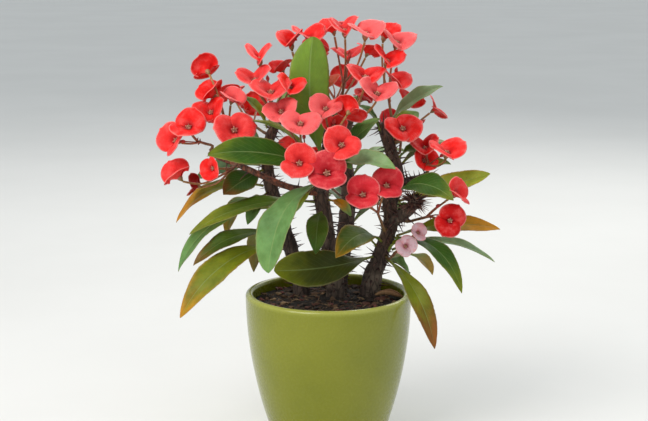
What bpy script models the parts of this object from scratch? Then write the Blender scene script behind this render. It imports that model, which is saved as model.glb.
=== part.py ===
"""A crown of thorns plant in bloom, in a round glazed pot.

Four thorny stems stand in plain holes in the soil. Leaves grow from them one by one, and each
bloom cluster is a forked stalk whose every tip carries two broad bracts round a small cup.
All sizes are in millimetres. +Z is up, -Y is the side that is seen first, and the origin is the
middle of the pot's base.
"""

import math
import random

import bmesh
import bpy
from mathutils import Matrix, Vector, noise
from mathutils.bvhtree import BVHTree

METRE = 0.001
UP = Vector((0, 0, 1))
GAP = 0.35

# Pot
POT_HEIGHT = 110
POT_RIM_RADIUS = 60
POT_TAPER = 0.00168
POT_WALL = 5.5
POT_FLOOR = 7
POT_FOOT_ROUND = 3
POT_SIDES = 36
LIP_STEPS = 4
OUTER_HEIGHTS = (92, 68, 44, 20)
INNER_HEIGHTS = (10, 44, 82)

# Soil
SOIL_TOP = 102
SOIL_MOUND = 2
SOIL_LUMP = 1.6
SOIL_GRAIN = 11
SOIL_SIDES = 24
SOIL_RINGS = (0.3, 0.6, 0.85)
HOLE_SIDES = 9
HOLE_SPARE = 0.7
ROOT_END = 72

# Stems
TRUNK_SIDES = 8
LIMB_STEP = 12
TIP_ROUND = 0.6
THORN_STEP = 8.4
THORN_LENGTH = 9
THORN_RADIUS = 0.75
THORN_ROOT = 1.6
THORN_CLEARANCE = 0.9
THORN_LOWEST = 5
THORN_TURN = 137.5
THORN_SCATTER = 25
THORN_SIZES = (0.8, 1.15)
THORN_LEANS = (-0.15, 0.35)
THORN_SIDES = 3
THORN_SEED = 7
CLEAR_STEPS = 6
CROWN_REACH = 1.35

# Leaves
LEAF_THICKNESS = 0.8
LEAF_ROWS = (0, 0.16, 0.38, 0.6, 0.8, 0.94)
LEAF_STALK = 1.5
LEAF_WIDEST = (0.58, 0.62)
LEAF_TAPER = 1.2
LEAF_TIP_FALL = (1.9, 2.5)
LEAF_TIP_ROUND = (0.8, 0.6)
LEAF_BROAD = (22, 29)
LEAF_TWIST = 0.4
LEAF_WAVE = 0.5
SEAT = 0.5

# Blooms
BRACT_THICKNESS = 0.7
BRACT_SPREAD = 84
BRACT_SIDES = 4
BRACT_SHRINK = 0.22
BRACT_FALL = 3
BRACT_CONE = 0.35
BRACT_POINT = 1.07
BRACT_MIDDLE = 0.42
FUNNEL_DEPTH = 1.5
FUNNEL_HALF = 0.8
CUP_RINGS = ((-4.2, 0.75), (-1.8, 2.1), (1.2, 1.7))
USUAL_WIDTH = 24
BLOOM_SINK = 0.4
STALK_RADIUS = 1.05
KNEE = 4
TWIG_RADIUS = 0.75
TWIG_SIDES = 4
FORK_DROP = 15
FORK_REACH = 0.62
FORK_STEP = 2.4
FORK_BULGE = 2
TWIG_BOW = 0.5
TWIG_REACH = 0.3

COLOURS = {
    "glaze": ((0.30, 0.34, 0.04), 0.28),
    "soil": ((0.030, 0.018, 0.010), 0.95),
    "bark": ((0.085, 0.060, 0.045), 0.85),
    "leaf": ((0.075, 0.200, 0.035), 0.45),
    "bloom": ((0.800, 0.045, 0.040), 0.50),
    "faded_bloom": ((0.750, 0.420, 0.470), 0.60),
}

# Each limb: the stem that it belongs to, the points of its middle line with its radius there, and
# how many thorns crowd round its tip.
LIMBS = {
    "right_trunk": ("stem_right", [
        (31, 13, ROOT_END, 6.5), (31, 13, 110, 7.4), (37, 11, 131, 6.0), (43, 7, 150, 5.6),
        (45, 4, 166, 5.4), (42, 2, 184, 4.8)], 8),
    "right_near": ("stem_right", [
        (44, 5, 160, 4.2), (52, -5, 166, 4.2), (58, -15, 174, 4.0), (60, -22, 181, 3.8)], 20),
    "right_high": ("stem_right", [
        (42, 5, 168, 4.6), (50, 13, 188, 5.0), (46, 19, 208, 4.6), (39, 20, 228, 3.8)], 4),
    "right_side": ("stem_right", [
        (49, 13, 186, 3.6), (61, 15, 188, 4.0), (73, 12, 192, 3.4)], 4),
    "middle_trunk": ("stem_middle", [
        (5, 9, ROOT_END, 6), (5, 9, 110, 6.8), (1, 6, 138, 6.0), (-3, 2, 164, 5.6),
        (-5, 1, 184, 5.2), (-2, 5, 206, 4.6), (2, 8, 226, 3.8)], 4),
    "middle_front": ("stem_middle", [
        (-5, 0, 184, 4.4), (-5, -15, 195, 4.4), (-3, -30, 206, 4.0), (-1, -38, 213, 3.4)], 4),
    "middle_twig": ("stem_middle", [
        (-5, 0, 182, 2.9), (-30, -5, 188, 2.4), (-62, -8, 203, 2.1), (-84, -9, 212, 1.9)], 0),
    "left_trunk": ("stem_left", [
        (-20, 16, ROOT_END, 5.5), (-20, 16, 110, 6.2), (-27, 16, 136, 5.4),
        (-36, 16, 165, 5.0), (-43, 16, 190, 4.6), (-44, 16, 212, 4.0), (-38, 16, 231, 3.4)], 4),
    "back_trunk": ("stem_back", [
        (8, 36, ROOT_END, 5.5), (8, 36, 110, 6.8), (12, 40, 140, 6.2), (15, 40, 175, 5.6),
        (12, 36, 208, 4.8), (15, 32, 236, 3.8)], 4),
}

# Each leaf: its limb, how far along that limb, its tip, its width, how far it arches out of a
# straight line, how far it is rolled on its rib, and how far its halves fold up.
LEAVES = [
    ("middle_front", 0.45, (-41, -66, 139), 30, 16, 8, 14),
    ("middle_trunk", 0.86, (-11, -7, 294), 29, -9, 44, 10),
    ("middle_front", 0.72, (-81, -60, 219), 24, 6, -48, 10),
    ("middle_front", 0.86, (45, -58, 209), 17, 5, 30, 22),
    ("right_high", 1.00, (82, 17, 257), 17, 4, 28, 12),
    ("right_trunk", 0.97, (86, -38, 184), 21, 9, 34, 12),
    ("right_high", 0.16, (115, -4, 197), 19, 0, 45, 12),
    ("right_trunk", 0.70, (124, 4, 155), 15, 6, 44, 12),
    ("right_trunk", 0.60, (119, -10, 134), 12, 10, 8, 24),
    ("right_trunk", 0.70, (94, -30, 116), 15, 14, 25, 12),
    ("right_trunk", 0.54, (75, -36, 77), 15, 10, 24, 12),
    ("right_trunk", 0.66, (5, -45, 145), 22, 10, -26, 14),
    ("middle_trunk", 0.58, (-9, -34, 145), 16, 9, -14, 12),
    ("right_trunk", 0.52, (-38, -34, 133), 27, -3, -62, 8),
    ("left_trunk", 0.42, (-105, -30, 98), 21, 13, -36, 12),
    ("left_trunk", 0.47, (-97, -8, 131), 16, 9, -26, 12),
    ("left_trunk", 0.60, (-109, 3, 124), 18, 14, -22, 12),
    ("middle_trunk", 0.63, (-98, -24, 157), 17, 9, -24, 12),
    ("left_trunk", 0.69, (-111, 14, 158), 18, 12, -22, 12),
    ("left_trunk", 0.76, (-74, -16, 184), 21, 1, -34, 12),
    ("left_trunk", 0.78, (-97, 20, 189), 19, 4, -34, 14),
    ("middle_trunk", 0.78, (-54, -21, 237), 12, 9, -10, 20),
    ("right_high", 0.80, (66, 38, 236), 15, 3, 30, 14),
    ("middle_trunk", 0.82, (36, -10, 237), 19, 2, 40, 12),
    ("back_trunk", 0.56, (-8, 108, 148), 20, 16, 0, 14),
    ("left_trunk", 0.60, (-78, 64, 138), 19, 16, 0, 14),
    ("left_trunk", 0.86, (-82, 50, 216), 18, 8, 0, 14),
    ("back_trunk", 0.74, (-26, 92, 224), 18, 8, 0, 14),
    ("back_trunk", 0.72, (60, 82, 200), 18, 8, 0, 14),
    ("right_high", 0.52, (98, 52, 208), 18, 8, 0, 14),
    ("right_trunk", 0.45, (80, 60, 108), 19, 12, 0, 14),
    ("left_trunk", 0.46, (-58, 78, 106), 19, 16, 0, 14),
    ("left_trunk", 0.90, (-20, 48, 268), 16, 0, 0, 12),
    ("back_trunk", 0.50, (62, 92, 142), 20, 16, 0, 14),
]

# Each cluster: its limb, how far along that limb, and its blooms. Each bloom: its middle, how far
# it turns right of straight ahead, how far it looks up, the turn of its two bracts on its own axis,
# its width when flat, and how far its bracts are raised.
CLUSTERS = {
    "blooms_left_low": ("left_trunk", 0.84, [
        ((-109, -5, 198), -50, 48, -30, 31, 48), ((-97, 10, 186), -110, 10, 80, 22, 40),
        ((-82, -24, 204), -35, 10, 30, 22, 38)]),
    "blooms_left": ("middle_twig", 1.0, [
        ((-98, -20, 234), -12, 46, 74, 31, 34), ((-110, -8, 222), -40, 22, -28, 31, 42)]),
    "blooms_left_high": ("middle_twig", 0.8, [
        ((-88, 15, 270), -150, 30, 60, 27, 34), ((-84, 6, 255), -60, 56, 10, 29, 48),
        ((-84, -4, 243), -25, 52, 30, 31, 42), ((-68, 4, 251), 30, 62, 32, 25, 42),
        ((-65, -25, 232), 10, 38, 5, 33, 26)]),
    "blooms_top_left": ("left_trunk", 1.0, [
        ((-49, 2, 282), -14, 76, 14, 33, 56), ((-52, -10, 267), -24, 68, 22, 32, 40),
        ((-40, -25, 260), -10, 70, 8, 35, 36), ((-34, 12, 272), -60, 72, 10, 24, 46),
        ((-26, -25, 263), 34, 60, -30, 28, 44)]),
    "blooms_top": ("middle_trunk", 0.93, [
        ((-27, 4, 292), -30, 74, 4, 30, 54), ((-14, 8, 295), 0, 72, 22, 33, 44),
        ((-9, 14, 286), 44, 70, 48, 27, 44)]),
    "blooms_top_middle": ("back_trunk", 1.0, [
        ((11, 8, 301), -16, 74, 20, 32, 50), ((26, -5, 299), 15, 74, 16, 33, 38),
        ((3, 31, 299), -50, 76, 0, 26, 44), ((14, 32, 280), 0, 80, 0, 30, 36)]),
    "blooms_top_right": ("right_high", 1.0, [
        ((41, 26, 296), 45, 74, 0, 30, 50), ((49, 6, 292), 38, 68, -22, 33, 40),
        ((42, -6, 280), 38, 66, -30, 32, 44), ((48, 2, 264), 52, 66, -20, 29, 42)]),
    "blooms_upper_middle": ("middle_trunk", 1.0, [
        ((-2, 12, 262), 0, 75, 0, 25, 38), ((26, -10, 269), 10, 72, -12, 34, 36),
        ((34, -26, 259), 20, 66, -26, 34, 38), ((25, 6, 251), 60, 60, 30, 20, 35)]),
    "blooms_middle_left": ("middle_front", 0.62, [
        ((-33, -32, 246), -20, 50, 30, 28, 30), ((-19, -49, 240), 5, 60, -5, 31, 26),
        ((-29, -15, 212), -60, 30, 30, 21, 35)]),
    "blooms_middle": ("middle_front", 0.8, [
        ((-2, -29, 248), 0, 55, -25, 28, 34), ((15, -30, 246), 150, 35, 70, 27, 22),
        ((4, -18, 234), 10, 40, 0, 22, 35)]),
    "blooms_front": ("middle_front", 1.0, [
        ((-20, -60, 214), -8, 32, 75, 30, 32), ((-1, -63, 208), 3, 32, 88, 34, 34),
        ((9, -56, 226), 10, 38, -48, 30, 30)]),
    "blooms_front_right": ("right_trunk", 0.74, [
        ((23, -56, 192), -4, 34, 84, 30, 36), ((40, -48, 197), 10, 34, 75, 29, 36)]),
    "blooms_right_low": ("right_near", 0.25, [
        ((85, -30, 168), 8, 12, 60, 25, 18), ((91, -25, 187), 60, 34, 50, 27, 40)]),
    "blooms_right": ("right_side", 1.0, [
        ((69, 8, 216), -12, 62, 14, 27, 42), ((84, -6, 215), 20, 70, 2, 33, 36),
        ((70, 11, 205), 30, 35, -25, 24, 35)]),
    "blooms_right_high": ("right_high", 0.76, [
        ((53, 0, 230), 10, 50, 12, 31, 26), ((47, 32, 222), -20, 40, 20, 22, 35)]),
    "faded_blooms": ("right_trunk", 0.56, [
        ((55, -17, 147), 10, 15, 35, 18, 30), ((64, -17, 157), 30, 25, 60, 16, 35)]),
    "blooms_back_left": ("left_trunk", 0.92, [
        ((-72, 46, 250), -140, 50, 20, 25, 28), ((-54, 64, 238), 180, 30, 70, 25, 25),
        ((-84, 34, 236), -110, 30, 20, 22, 35)]),
    "blooms_back": ("back_trunk", 0.95, [
        ((-10, 64, 274), -160, 50, 30, 25, 28), ((12, 72, 258), 170, 30, 80, 25, 25),
        ((-32, 57, 254), -130, 40, 0, 22, 35), ((30, 56, 280), 130, 60, 0, 24, 35)]),
    "blooms_back_right": ("right_high", 0.66, [
        ((62, 58, 244), 140, 45, 20, 25, 28), ((80, 44, 238), 100, 35, 60, 24, 28),
        ((48, 66, 226), 170, 20, 40, 22, 30)]),
    "blooms_back_low": ("back_trunk", 0.62, [
        ((-30, 82, 202), -150, 20, 40, 24, 26), ((-8, 90, 192), 170, 15, 90, 24, 26)]),
}


def material(name):
    """The material of one of the COLOURS, made once."""
    if name in bpy.data.materials:
        return bpy.data.materials[name]
    colour, roughness = COLOURS[name]
    made = bpy.data.materials.new(name)
    made.use_nodes = True
    shader = made.node_tree.nodes["Principled BSDF"]
    shader.inputs["Base Color"].default_value = (*colour, 1)
    shader.inputs["Roughness"].default_value = roughness
    shader.inputs["Metallic"].default_value = 0
    made.diffuse_color = (*colour, 1)
    return made


def add_mesh(name, points, edges, faces, finish):
    """An object from points in millimetres."""
    mesh = bpy.data.meshes.new(name)
    mesh.from_pydata([Vector(p) * METRE for p in points], edges, faces)
    mesh.materials.append(material(finish))
    obj = bpy.data.objects.new(name, mesh)
    bpy.context.scene.collection.objects.link(obj)
    return obj


def apply_modifiers(obj):
    """Makes the object's modifiers into plain mesh."""
    bpy.context.view_layer.update()
    graph = bpy.context.evaluated_depsgraph_get()
    mesh = bpy.data.meshes.new_from_object(obj.evaluated_get(graph))
    mesh.name = obj.name
    obj.modifiers.clear()
    obj.data = mesh


def combine(target, others, operation, solver):
    """One Boolean of the target with all the others, which are then removed."""
    group = bpy.data.collections.new(target.name + "_pieces")
    bpy.context.scene.collection.children.link(group)
    for other in others:
        bpy.context.scene.collection.objects.unlink(other)
        group.objects.link(other)
    boolean = target.modifiers.new("combine", "BOOLEAN")
    boolean.operation = operation
    boolean.operand_type = "COLLECTION"
    boolean.collection = group
    boolean.solver = solver
    apply_modifiers(target)
    for other in others:
        bpy.data.objects.remove(other)
    bpy.data.collections.remove(group)


def smooth_line(points, step):
    """(point, radius) pairs about a step apart on a smooth curve through the given ones."""
    knots = [Vector(p) for p in points]
    line = []
    for i in range(len(knots) - 1):
        before, start, end = knots[max(i - 1, 0)], knots[i], knots[i + 1]
        after = knots[min(i + 2, len(knots) - 1)]
        count = max(1, round((end - start).length / step))
        for k in range(count):
            t = k / count
            line.append(start + 0.5 * ((end - before) * t
                                       + (2 * before - 5 * start + 4 * end - after) * t ** 2
                                       + (3 * start - before - 3 * end + after) * t ** 3))
    line.append(knots[-1])
    return [(p.xyz, p.w) for p in line]


def tube(name, line, sides, finish):
    """A closed tube round a line of (point, radius) pairs."""
    middles = [middle for middle, _ in line]
    points = []
    across = (middles[1] - middles[0]).orthogonal()
    for i, (middle, radius) in enumerate(line):
        along = (middles[min(i + 1, len(line) - 1)] - middles[max(i - 1, 0)]).normalized()
        across = (across - along * across.dot(along)).normalized()
        other = along.cross(across)
        for k in range(sides):
            turn = 2 * math.pi * k / sides
            points.append(middle + radius * (math.cos(turn) * across + math.sin(turn) * other))
    faces = [tuple(reversed(range(sides)))]
    for start in range(0, len(points) - sides, sides):
        for k in range(sides):
            a, b = start + k, start + (k + 1) % sides
            faces.append((a, b, b + sides, a + sides))
    faces.append(tuple(range(len(points) - sides, len(points))))
    return add_mesh(name, points, [], faces, finish)


def outer_radius(height):
    return POT_RIM_RADIUS - POT_TAPER * (POT_HEIGHT - height) ** 2


def inner_radius(height):
    return outer_radius(height) - POT_WALL


def arc(centre, radius, start, end, steps):
    """Points of an arc in the plane of (radius, height), with its angles in degrees."""
    angles = [math.radians(start + (end - start) * k / steps) for k in range(steps + 1)]
    return [(centre[0] + radius * math.cos(a), centre[1] + radius * math.sin(a)) for a in angles]


def make_pot():
    """A turned cup with a rounded lip and a flat base."""
    lip = POT_WALL / 2
    lip_centre = (outer_radius(POT_HEIGHT - lip) - lip, POT_HEIGHT - lip)
    foot_centre = (outer_radius(POT_FOOT_ROUND) - POT_FOOT_ROUND, POT_FOOT_ROUND)
    profile = [(0, POT_FLOOR), (inner_radius(POT_FLOOR) - POT_FOOT_ROUND, POT_FLOOR)]
    profile += [(inner_radius(z), z) for z in INNER_HEIGHTS]
    profile += arc(lip_centre, lip, 180, 0, LIP_STEPS)
    profile += [(outer_radius(z), z) for z in OUTER_HEIGHTS]
    profile += arc(foot_centre, POT_FOOT_ROUND, 0, -90, 2)
    profile += [(0, 0)]
    points = [(radius, 0, height) for radius, height in profile]
    pot = add_mesh("pot", points, [(i, i + 1) for i in range(len(points) - 1)], [], "glaze")
    screw = pot.modifiers.new("turn", "SCREW")
    screw.steps = POT_SIDES
    screw.render_steps = POT_SIDES
    screw.use_merge_vertices = True
    screw.merge_threshold = 0.0001
    screw.use_smooth_shade = True


def soil_point(share, turn):
    """A point of the lumpy top, at a share of the way from the middle to the edge."""
    radius = share * soil_radius(SOIL_TOP)
    spot = Vector((radius * math.cos(turn), radius * math.sin(turn), 0))
    lump = SOIL_LUMP * noise.noise(spot / SOIL_GRAIN) if share < 1 else 0
    return spot + UP * (SOIL_TOP + SOIL_MOUND * (1 - share ** 2) + lump)


def soil_radius(height):
    """The soil's radius, a little inside the flats of the pot's inner wall."""
    return inner_radius(height) * math.cos(math.pi / POT_SIDES) - GAP


def make_soil():
    """A plug of soil that fills the pot, with a lumpy top and a plain hole for each trunk."""
    turns = [2 * math.pi * k / SOIL_SIDES for k in range(SOIL_SIDES)]
    points = [soil_point(0, 0)]
    for share in (*SOIL_RINGS, 1):
        points += [soil_point(share, turn) for turn in turns]
    for height in reversed(INNER_HEIGHTS):
        radius = soil_radius(height)
        points += [Vector((radius * math.cos(t), radius * math.sin(t), height)) for t in turns]
    faces = [(0, 1 + k, 1 + (k + 1) % SOIL_SIDES) for k in range(SOIL_SIDES)]
    for start in range(1, len(points) - SOIL_SIDES, SOIL_SIDES):
        for k in range(SOIL_SIDES):
            a, b = start + k, start + (k + 1) % SOIL_SIDES
            faces += [(a, a + SOIL_SIDES, b + SOIL_SIDES), (a, b + SOIL_SIDES, b)]
    faces.append(tuple(reversed(range(len(points) - SOIL_SIDES, len(points)))))
    soil = add_mesh("soil", points, [], faces, "soil")
    holes = []
    for name, (_, knots, _) in LIMBS.items():
        if knots[0][2] == ROOT_END:
            line = [(middle, radius + HOLE_SPARE) for middle, radius in LIMB_LINES[name]]
            below = (line[0][0] - UP * 2 * GAP, line[0][1])
            holes.append(tube(name + "_hole", [below, *line[1:5]], HOLE_SIDES, "soil"))
    combine(soil, holes, "DIFFERENCE", "EXACT")


def seat_on(limb, share, target):
    """The point on a limb's surface that faces a target, and the way out of the limb there."""
    line = LIMB_LINES[limb]
    place = share * (len(line) - 1)
    i = min(int(place), len(line) - 2)
    middle = line[i][0].lerp(line[i + 1][0], place - i)
    radius = line[i][1] + (line[i + 1][1] - line[i][1]) * (place - i)
    along = (line[i + 1][0] - line[i][0]).normalized()
    outward = Vector(target) - middle
    outward = (outward - along * outward.dot(along)).normalized()
    return middle + outward * (radius + SEAT), outward


def between(ends, share):
    """The value at a share of the way from the first of two ends to the second."""
    return ends[0] + (ends[1] - ends[0]) * share


def leaf_half_width(share, width):
    """Half the width of a leaf at a share of its length: a broad leaf has the blunter tip."""
    narrow, broad = LEAF_BROAD
    blunt = min(1, max(0, (width - narrow) / (broad - narrow)))
    widest = between(LEAF_WIDEST, blunt)
    if share < widest:
        blade = math.sin(math.pi / 2 * (share / widest) ** LEAF_TAPER)
    else:
        beyond = (share - widest) / (1 - widest)
        blade = (1 - beyond ** between(LEAF_TIP_FALL, blunt)) ** between(LEAF_TIP_ROUND, blunt)
    return max(LEAF_STALK / 2, blade * width / 2)


def make_leaf(name, limb, share, tip, width, arch, roll, fold):
    """A leaf: a thin sheet of triangles, bent along its rib and folded up a little, thickened."""
    base, _ = seat_on(limb, share, tip)
    tip = Vector(tip)
    rib = (tip - base).normalized()
    outward = Vector((rib.x, rib.y, 0)).normalized()
    raised = (UP * rib.dot(outward) - outward * rib.z).normalized()
    lift = math.tan(math.radians(fold))
    points = []
    for i, row in enumerate(LEAF_ROWS):
        turned = math.radians(roll) * min(1, row / LEAF_TWIST)
        face = Matrix.Rotation(turned, 3, rib) @ raised
        side = rib.cross(face)
        middle = base.lerp(tip, row) + 4 * arch * row * (1 - row) * raised
        half = leaf_half_width(row, width)
        wave = LEAF_WAVE * (-1) ** i * half / width
        points += [middle - side * half + face * (half * lift + wave),
                   middle,
                   middle + side * half + face * (half * lift - wave)]
    points.append(tip)
    faces = []
    for start in range(0, len(points) - 4, 3):
        for a in (start, start + 1):
            faces += [(a, a + 1, a + 4), (a, a + 4, a + 3)]
    last = len(points) - 1
    faces += [(last - 3, last - 2, last), (last - 2, last - 1, last)]
    leaf = add_mesh(name, points, [], faces, "leaf")
    thicken(leaf, LEAF_THICKNESS)
    return leaf


def thicken(obj, thickness):
    """Turns a thin sheet into a closed solid with its faces out."""
    solidify = obj.modifiers.new("thickness", "SOLIDIFY")
    solidify.thickness = thickness * METRE
    solidify.offset = 0
    apply_modifiers(obj)
    shape = bmesh.new()
    shape.from_mesh(obj.data)
    bmesh.ops.recalc_face_normals(shape, faces=shape.faces)
    shape.to_mesh(obj.data)
    shape.free()


def bloom_axes(turn, lift, spin):
    """The way that a bloom faces, and the way that its first bract points."""
    turn, lift, spin = math.radians(turn), math.radians(lift), math.radians(spin)
    level = Vector((math.cos(turn), math.sin(turn), 0))
    facing = math.cos(lift) * Vector((math.sin(turn), -math.cos(turn), 0)) + math.sin(lift) * UP
    along = math.cos(spin) * level + math.sin(spin) * facing.cross(level)
    return facing, along


def make_bract(name, origin, facing, along, reach, lean, finish):
    """One bract: a fan round a low middle, from inside the cup out to a rim with a small point.

    It is raised like a wing, and only partly like a cone.
    """
    across = facing.cross(along)
    aside = 1 - BRACT_CONE + BRACT_CONE * math.cos(lean)

    def blade_point(radius, angle):
        raised = BRACT_CONE + (1 - BRACT_CONE) * math.cos(angle)
        return origin + radius * (math.cos(lean) * math.cos(angle) * along
                                  + aside * math.sin(angle) * across
                                  + math.sin(lean) * raised * facing)

    size = reach / (USUAL_WIDTH / 2)
    root = origin + size * (FUNNEL_HALF * along - FUNNEL_DEPTH * facing)
    points = [root - size * FUNNEL_HALF * across]
    for k in range(BRACT_SIDES + 1):
        share = 2 * k / BRACT_SIDES - 1
        rim = BRACT_POINT if share == 0 else 1 - BRACT_SHRINK * abs(share) ** BRACT_FALL
        points.append(blade_point(rim * reach, math.radians(BRACT_SPREAD) * share))
    points.append(root + size * FUNNEL_HALF * across)
    points.append(blade_point(BRACT_MIDDLE * reach, 0))
    middle = len(points) - 1
    faces = [(k, (k + 1) % middle, middle) for k in range(middle)]
    bract = add_mesh(name, points, [], faces, finish)
    thicken(bract, BRACT_THICKNESS)
    return bract


def make_cluster(name, limb, share, blooms):
    """A stalk that forks into one twig for each bloom, with the blooms, fused in one solid."""
    finish = "faded_bloom" if name.startswith("faded") else "bloom"
    pieces = []
    backs = []
    for middle, turn, lift, spin, width, lean in blooms:
        facing, along = bloom_axes(turn, lift, spin)
        lean = math.radians(lean)
        reach = width / 2
        origin = Vector(middle) - BLOOM_SINK * reach * math.sin(lean) * facing
        for direction in (along, -along):
            pieces.append(
                make_bract(name + "_bract", origin, facing, direction, reach, lean, finish))
        backs.append((origin, facing, width / USUAL_WIDTH))
    heads = sum((origin for origin, _, _ in backs), Vector()) / len(backs)
    ahead = sum((facing for _, facing, _ in backs), Vector()) / len(backs)
    seat, outward = seat_on(limb, share, heads)
    knee = seat + KNEE * outward
    drop = min(FORK_DROP, (heads - seat).length / 3)
    fork = seat.lerp(heads - drop * ahead, FORK_REACH) + FORK_BULGE * outward
    down = (knee - fork).normalized()
    for k, (origin, facing, size) in enumerate(backs):
        cup = [(origin + height * size * facing, radius * size) for height, radius in CUP_RINGS]
        root = fork + down * FORK_STEP * k
        back = cup[0][0]
        behind = back - TWIG_BOW * (back - root).length * facing
        bend = root.lerp(behind, 0.5).lerp(back, TWIG_REACH)
        twig = [(root, TWIG_RADIUS), (bend, TWIG_RADIUS), *cup]
        if k == 0:
            twig = [(seat, STALK_RADIUS), (knee, STALK_RADIUS), (knee.lerp(fork, 0.5), STALK_RADIUS),
                    *twig]
        pieces.append(tube(name + "_twig", twig, TWIG_SIDES, finish))
    whole = pieces.pop()
    combine(whole, pieces, "UNION", "MANIFOLD")
    whole.name = name
    return whole


def make_thorns(name, line, crown, spread, obstacles):
    """Thorns all round a limb, each turned on from the last, and a crown of them at its tip."""
    thorns = []
    turn = 0
    travelled = 0
    for (start, radius), (end, _) in zip(line, line[1:]):
        along = (end - start).normalized()
        level = along.orthogonal().normalized()
        length = (end - start).length
        while travelled < length:
            root = start + along * travelled
            travelled += THORN_STEP
            turn += THORN_TURN + spread.uniform(-THORN_SCATTER, THORN_SCATTER)
            outward = Matrix.Rotation(math.radians(turn), 3, along) @ level
            outward = (outward + spread.uniform(*THORN_LEANS) * along).normalized()
            if root.z > SOIL_TOP + THORN_LOWEST:
                thorns += thorn(name, root, outward, radius, spread, obstacles)
        travelled -= length
    end, radius = line[-1]
    along = (end - line[-2][0]).normalized()
    level = along.orthogonal().normalized()
    for k in range(crown):
        tilt = math.acos(1 - CROWN_REACH * (k + 0.5) / crown)
        aside = Matrix.Rotation(math.radians(THORN_TURN) * k, 3, along) @ level
        outward = math.cos(tilt) * along + math.sin(tilt) * aside
        thorns += thorn(name, end - along * radius / 2, outward, radius, spread, obstacles)
    return thorns


def thorn(name, root, outward, radius, spread, obstacles):
    """A thorn out of a limb's middle point, in a list, or none where there is no room for it."""
    size = THORN_LENGTH * spread.uniform(*THORN_SIZES)
    foot = root + outward * (radius - THORN_ROOT)
    tip = root + outward * (radius + size)
    if tip.z < SOIL_TOP + THORN_LOWEST or not is_clear(foot, tip, obstacles):
        return []
    level = outward.orthogonal().normalized()
    corners = [foot + THORN_RADIUS * (Matrix.Rotation(k * math.tau / THORN_SIDES, 3, outward) @ level)
               for k in range(THORN_SIDES)]
    faces = [(2, 1, 0), (0, 1, 3), (1, 2, 3), (2, 0, 3)]
    return [add_mesh(name + "_thorn", [*corners, tip], [], faces, "bark")]


def is_clear(foot, tip, obstacles):
    """Whether a thorn between two points keeps its distance from all the obstacles."""
    spots = [foot.lerp(tip, step / CLEAR_STEPS) * METRE for step in range(2, CLEAR_STEPS + 1)]
    room = (THORN_CLEARANCE + THORN_RADIUS) * METRE
    return all(tree.find_nearest(spot, room)[0] is None for tree in obstacles for spot in spots)


def surface_tree(obj):
    shape = bmesh.new()
    shape.from_mesh(obj.data)
    tree = BVHTree.FromBMesh(shape)
    shape.free()
    return tree


def make_stems(growth):
    """Each stem: its limbs and their thorns, fused in one solid."""
    obstacles = [surface_tree(obj) for obj in growth]
    spread = random.Random(THORN_SEED)
    stems = {}
    for name, (stem, _, crown) in LIMBS.items():
        line = LIMB_LINES[name]
        end, radius = line[-1]
        along = (end - line[-2][0]).normalized()
        rounded = [*line, (end + along * radius * TIP_ROUND, radius * TIP_ROUND)]
        pieces = stems.setdefault(stem, [])
        pieces.append(tube(name, rounded, TRUNK_SIDES, "bark"))
        pieces += make_thorns(name, line, crown, spread, obstacles)
    for stem, pieces in stems.items():
        whole = pieces[0]
        combine(whole, pieces[1:], "UNION", "MANIFOLD")
        whole.name = stem


LIMB_LINES = {name: smooth_line(knots, LIMB_STEP) for name, (_, knots, _) in LIMBS.items()}

for old in list(bpy.data.objects):
    bpy.data.objects.remove(old)
make_pot()
make_soil()
grown = [make_leaf(f"leaf_{k:02d}", *leaf) for k, leaf in enumerate(LEAVES, start=1)]
grown += [make_cluster(name, *cluster) for name, cluster in CLUSTERS.items()]
make_stems(grown)
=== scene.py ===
"""The dressed crown of thorns plant in its glazed pot, over the solids and in their frame.

Sizes are in millimetres until a mesh is made. +Z is up and -Y is the side that the camera sees.
The tables of limbs, leaves and clusters are those of the solids.
"""

import functools
from math import acos, cos, exp, hypot, pi, radians, sin, sqrt, tan, tau
import random

import bmesh
import bpy
from mathutils import Matrix, Vector
from mathutils.bvhtree import BVHTree
from mathutils.noise import noise


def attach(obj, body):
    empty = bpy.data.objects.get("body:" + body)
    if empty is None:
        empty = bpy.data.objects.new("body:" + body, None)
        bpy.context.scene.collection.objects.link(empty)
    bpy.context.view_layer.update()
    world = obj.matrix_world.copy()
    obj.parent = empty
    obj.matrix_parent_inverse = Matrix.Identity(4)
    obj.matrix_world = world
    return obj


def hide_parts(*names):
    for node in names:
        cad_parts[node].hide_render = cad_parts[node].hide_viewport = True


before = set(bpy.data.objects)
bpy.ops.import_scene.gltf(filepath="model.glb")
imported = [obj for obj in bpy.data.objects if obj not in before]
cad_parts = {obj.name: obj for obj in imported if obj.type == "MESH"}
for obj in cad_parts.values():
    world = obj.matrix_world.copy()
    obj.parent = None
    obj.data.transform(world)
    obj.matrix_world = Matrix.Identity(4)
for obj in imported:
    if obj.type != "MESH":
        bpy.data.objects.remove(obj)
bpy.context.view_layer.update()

METRE = 0.001
UP = Vector((0, 0, 1))
CHANCE = random.Random(11)
draw = CHANCE.uniform
GOLDEN_TURN = 137.5

# Pot
POT_HEIGHT = 110
POT_RIM_RADIUS = 60
POT_TAPER = 0.00168
POT_WALL = 5.5
POT_FLOOR = 7
POT_SHOULDER = 104
POT_FOOT_ROUND = 3
POT_SIDES = 180

# Soil
SOIL_TOP = 102
SOIL_MOUND = 2
SOIL_GAP = 0.5
SOIL_SIDES = 200
SOIL_RINGS = 56
CHIP_COUNT = 210
FIBRE_COUNT = 150
FIBRE_STEPS = 8
TRUNK_CLEARANCE = 9

# Stems
ROOT_END = 72
LIMB_STEP = 12
FINE_STEP = 1.5
BARK_SIDES = 26
BARK_GRAIN = 5.5
TIP_ROUND = 0.6
TIP_RINGS = 4

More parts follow.
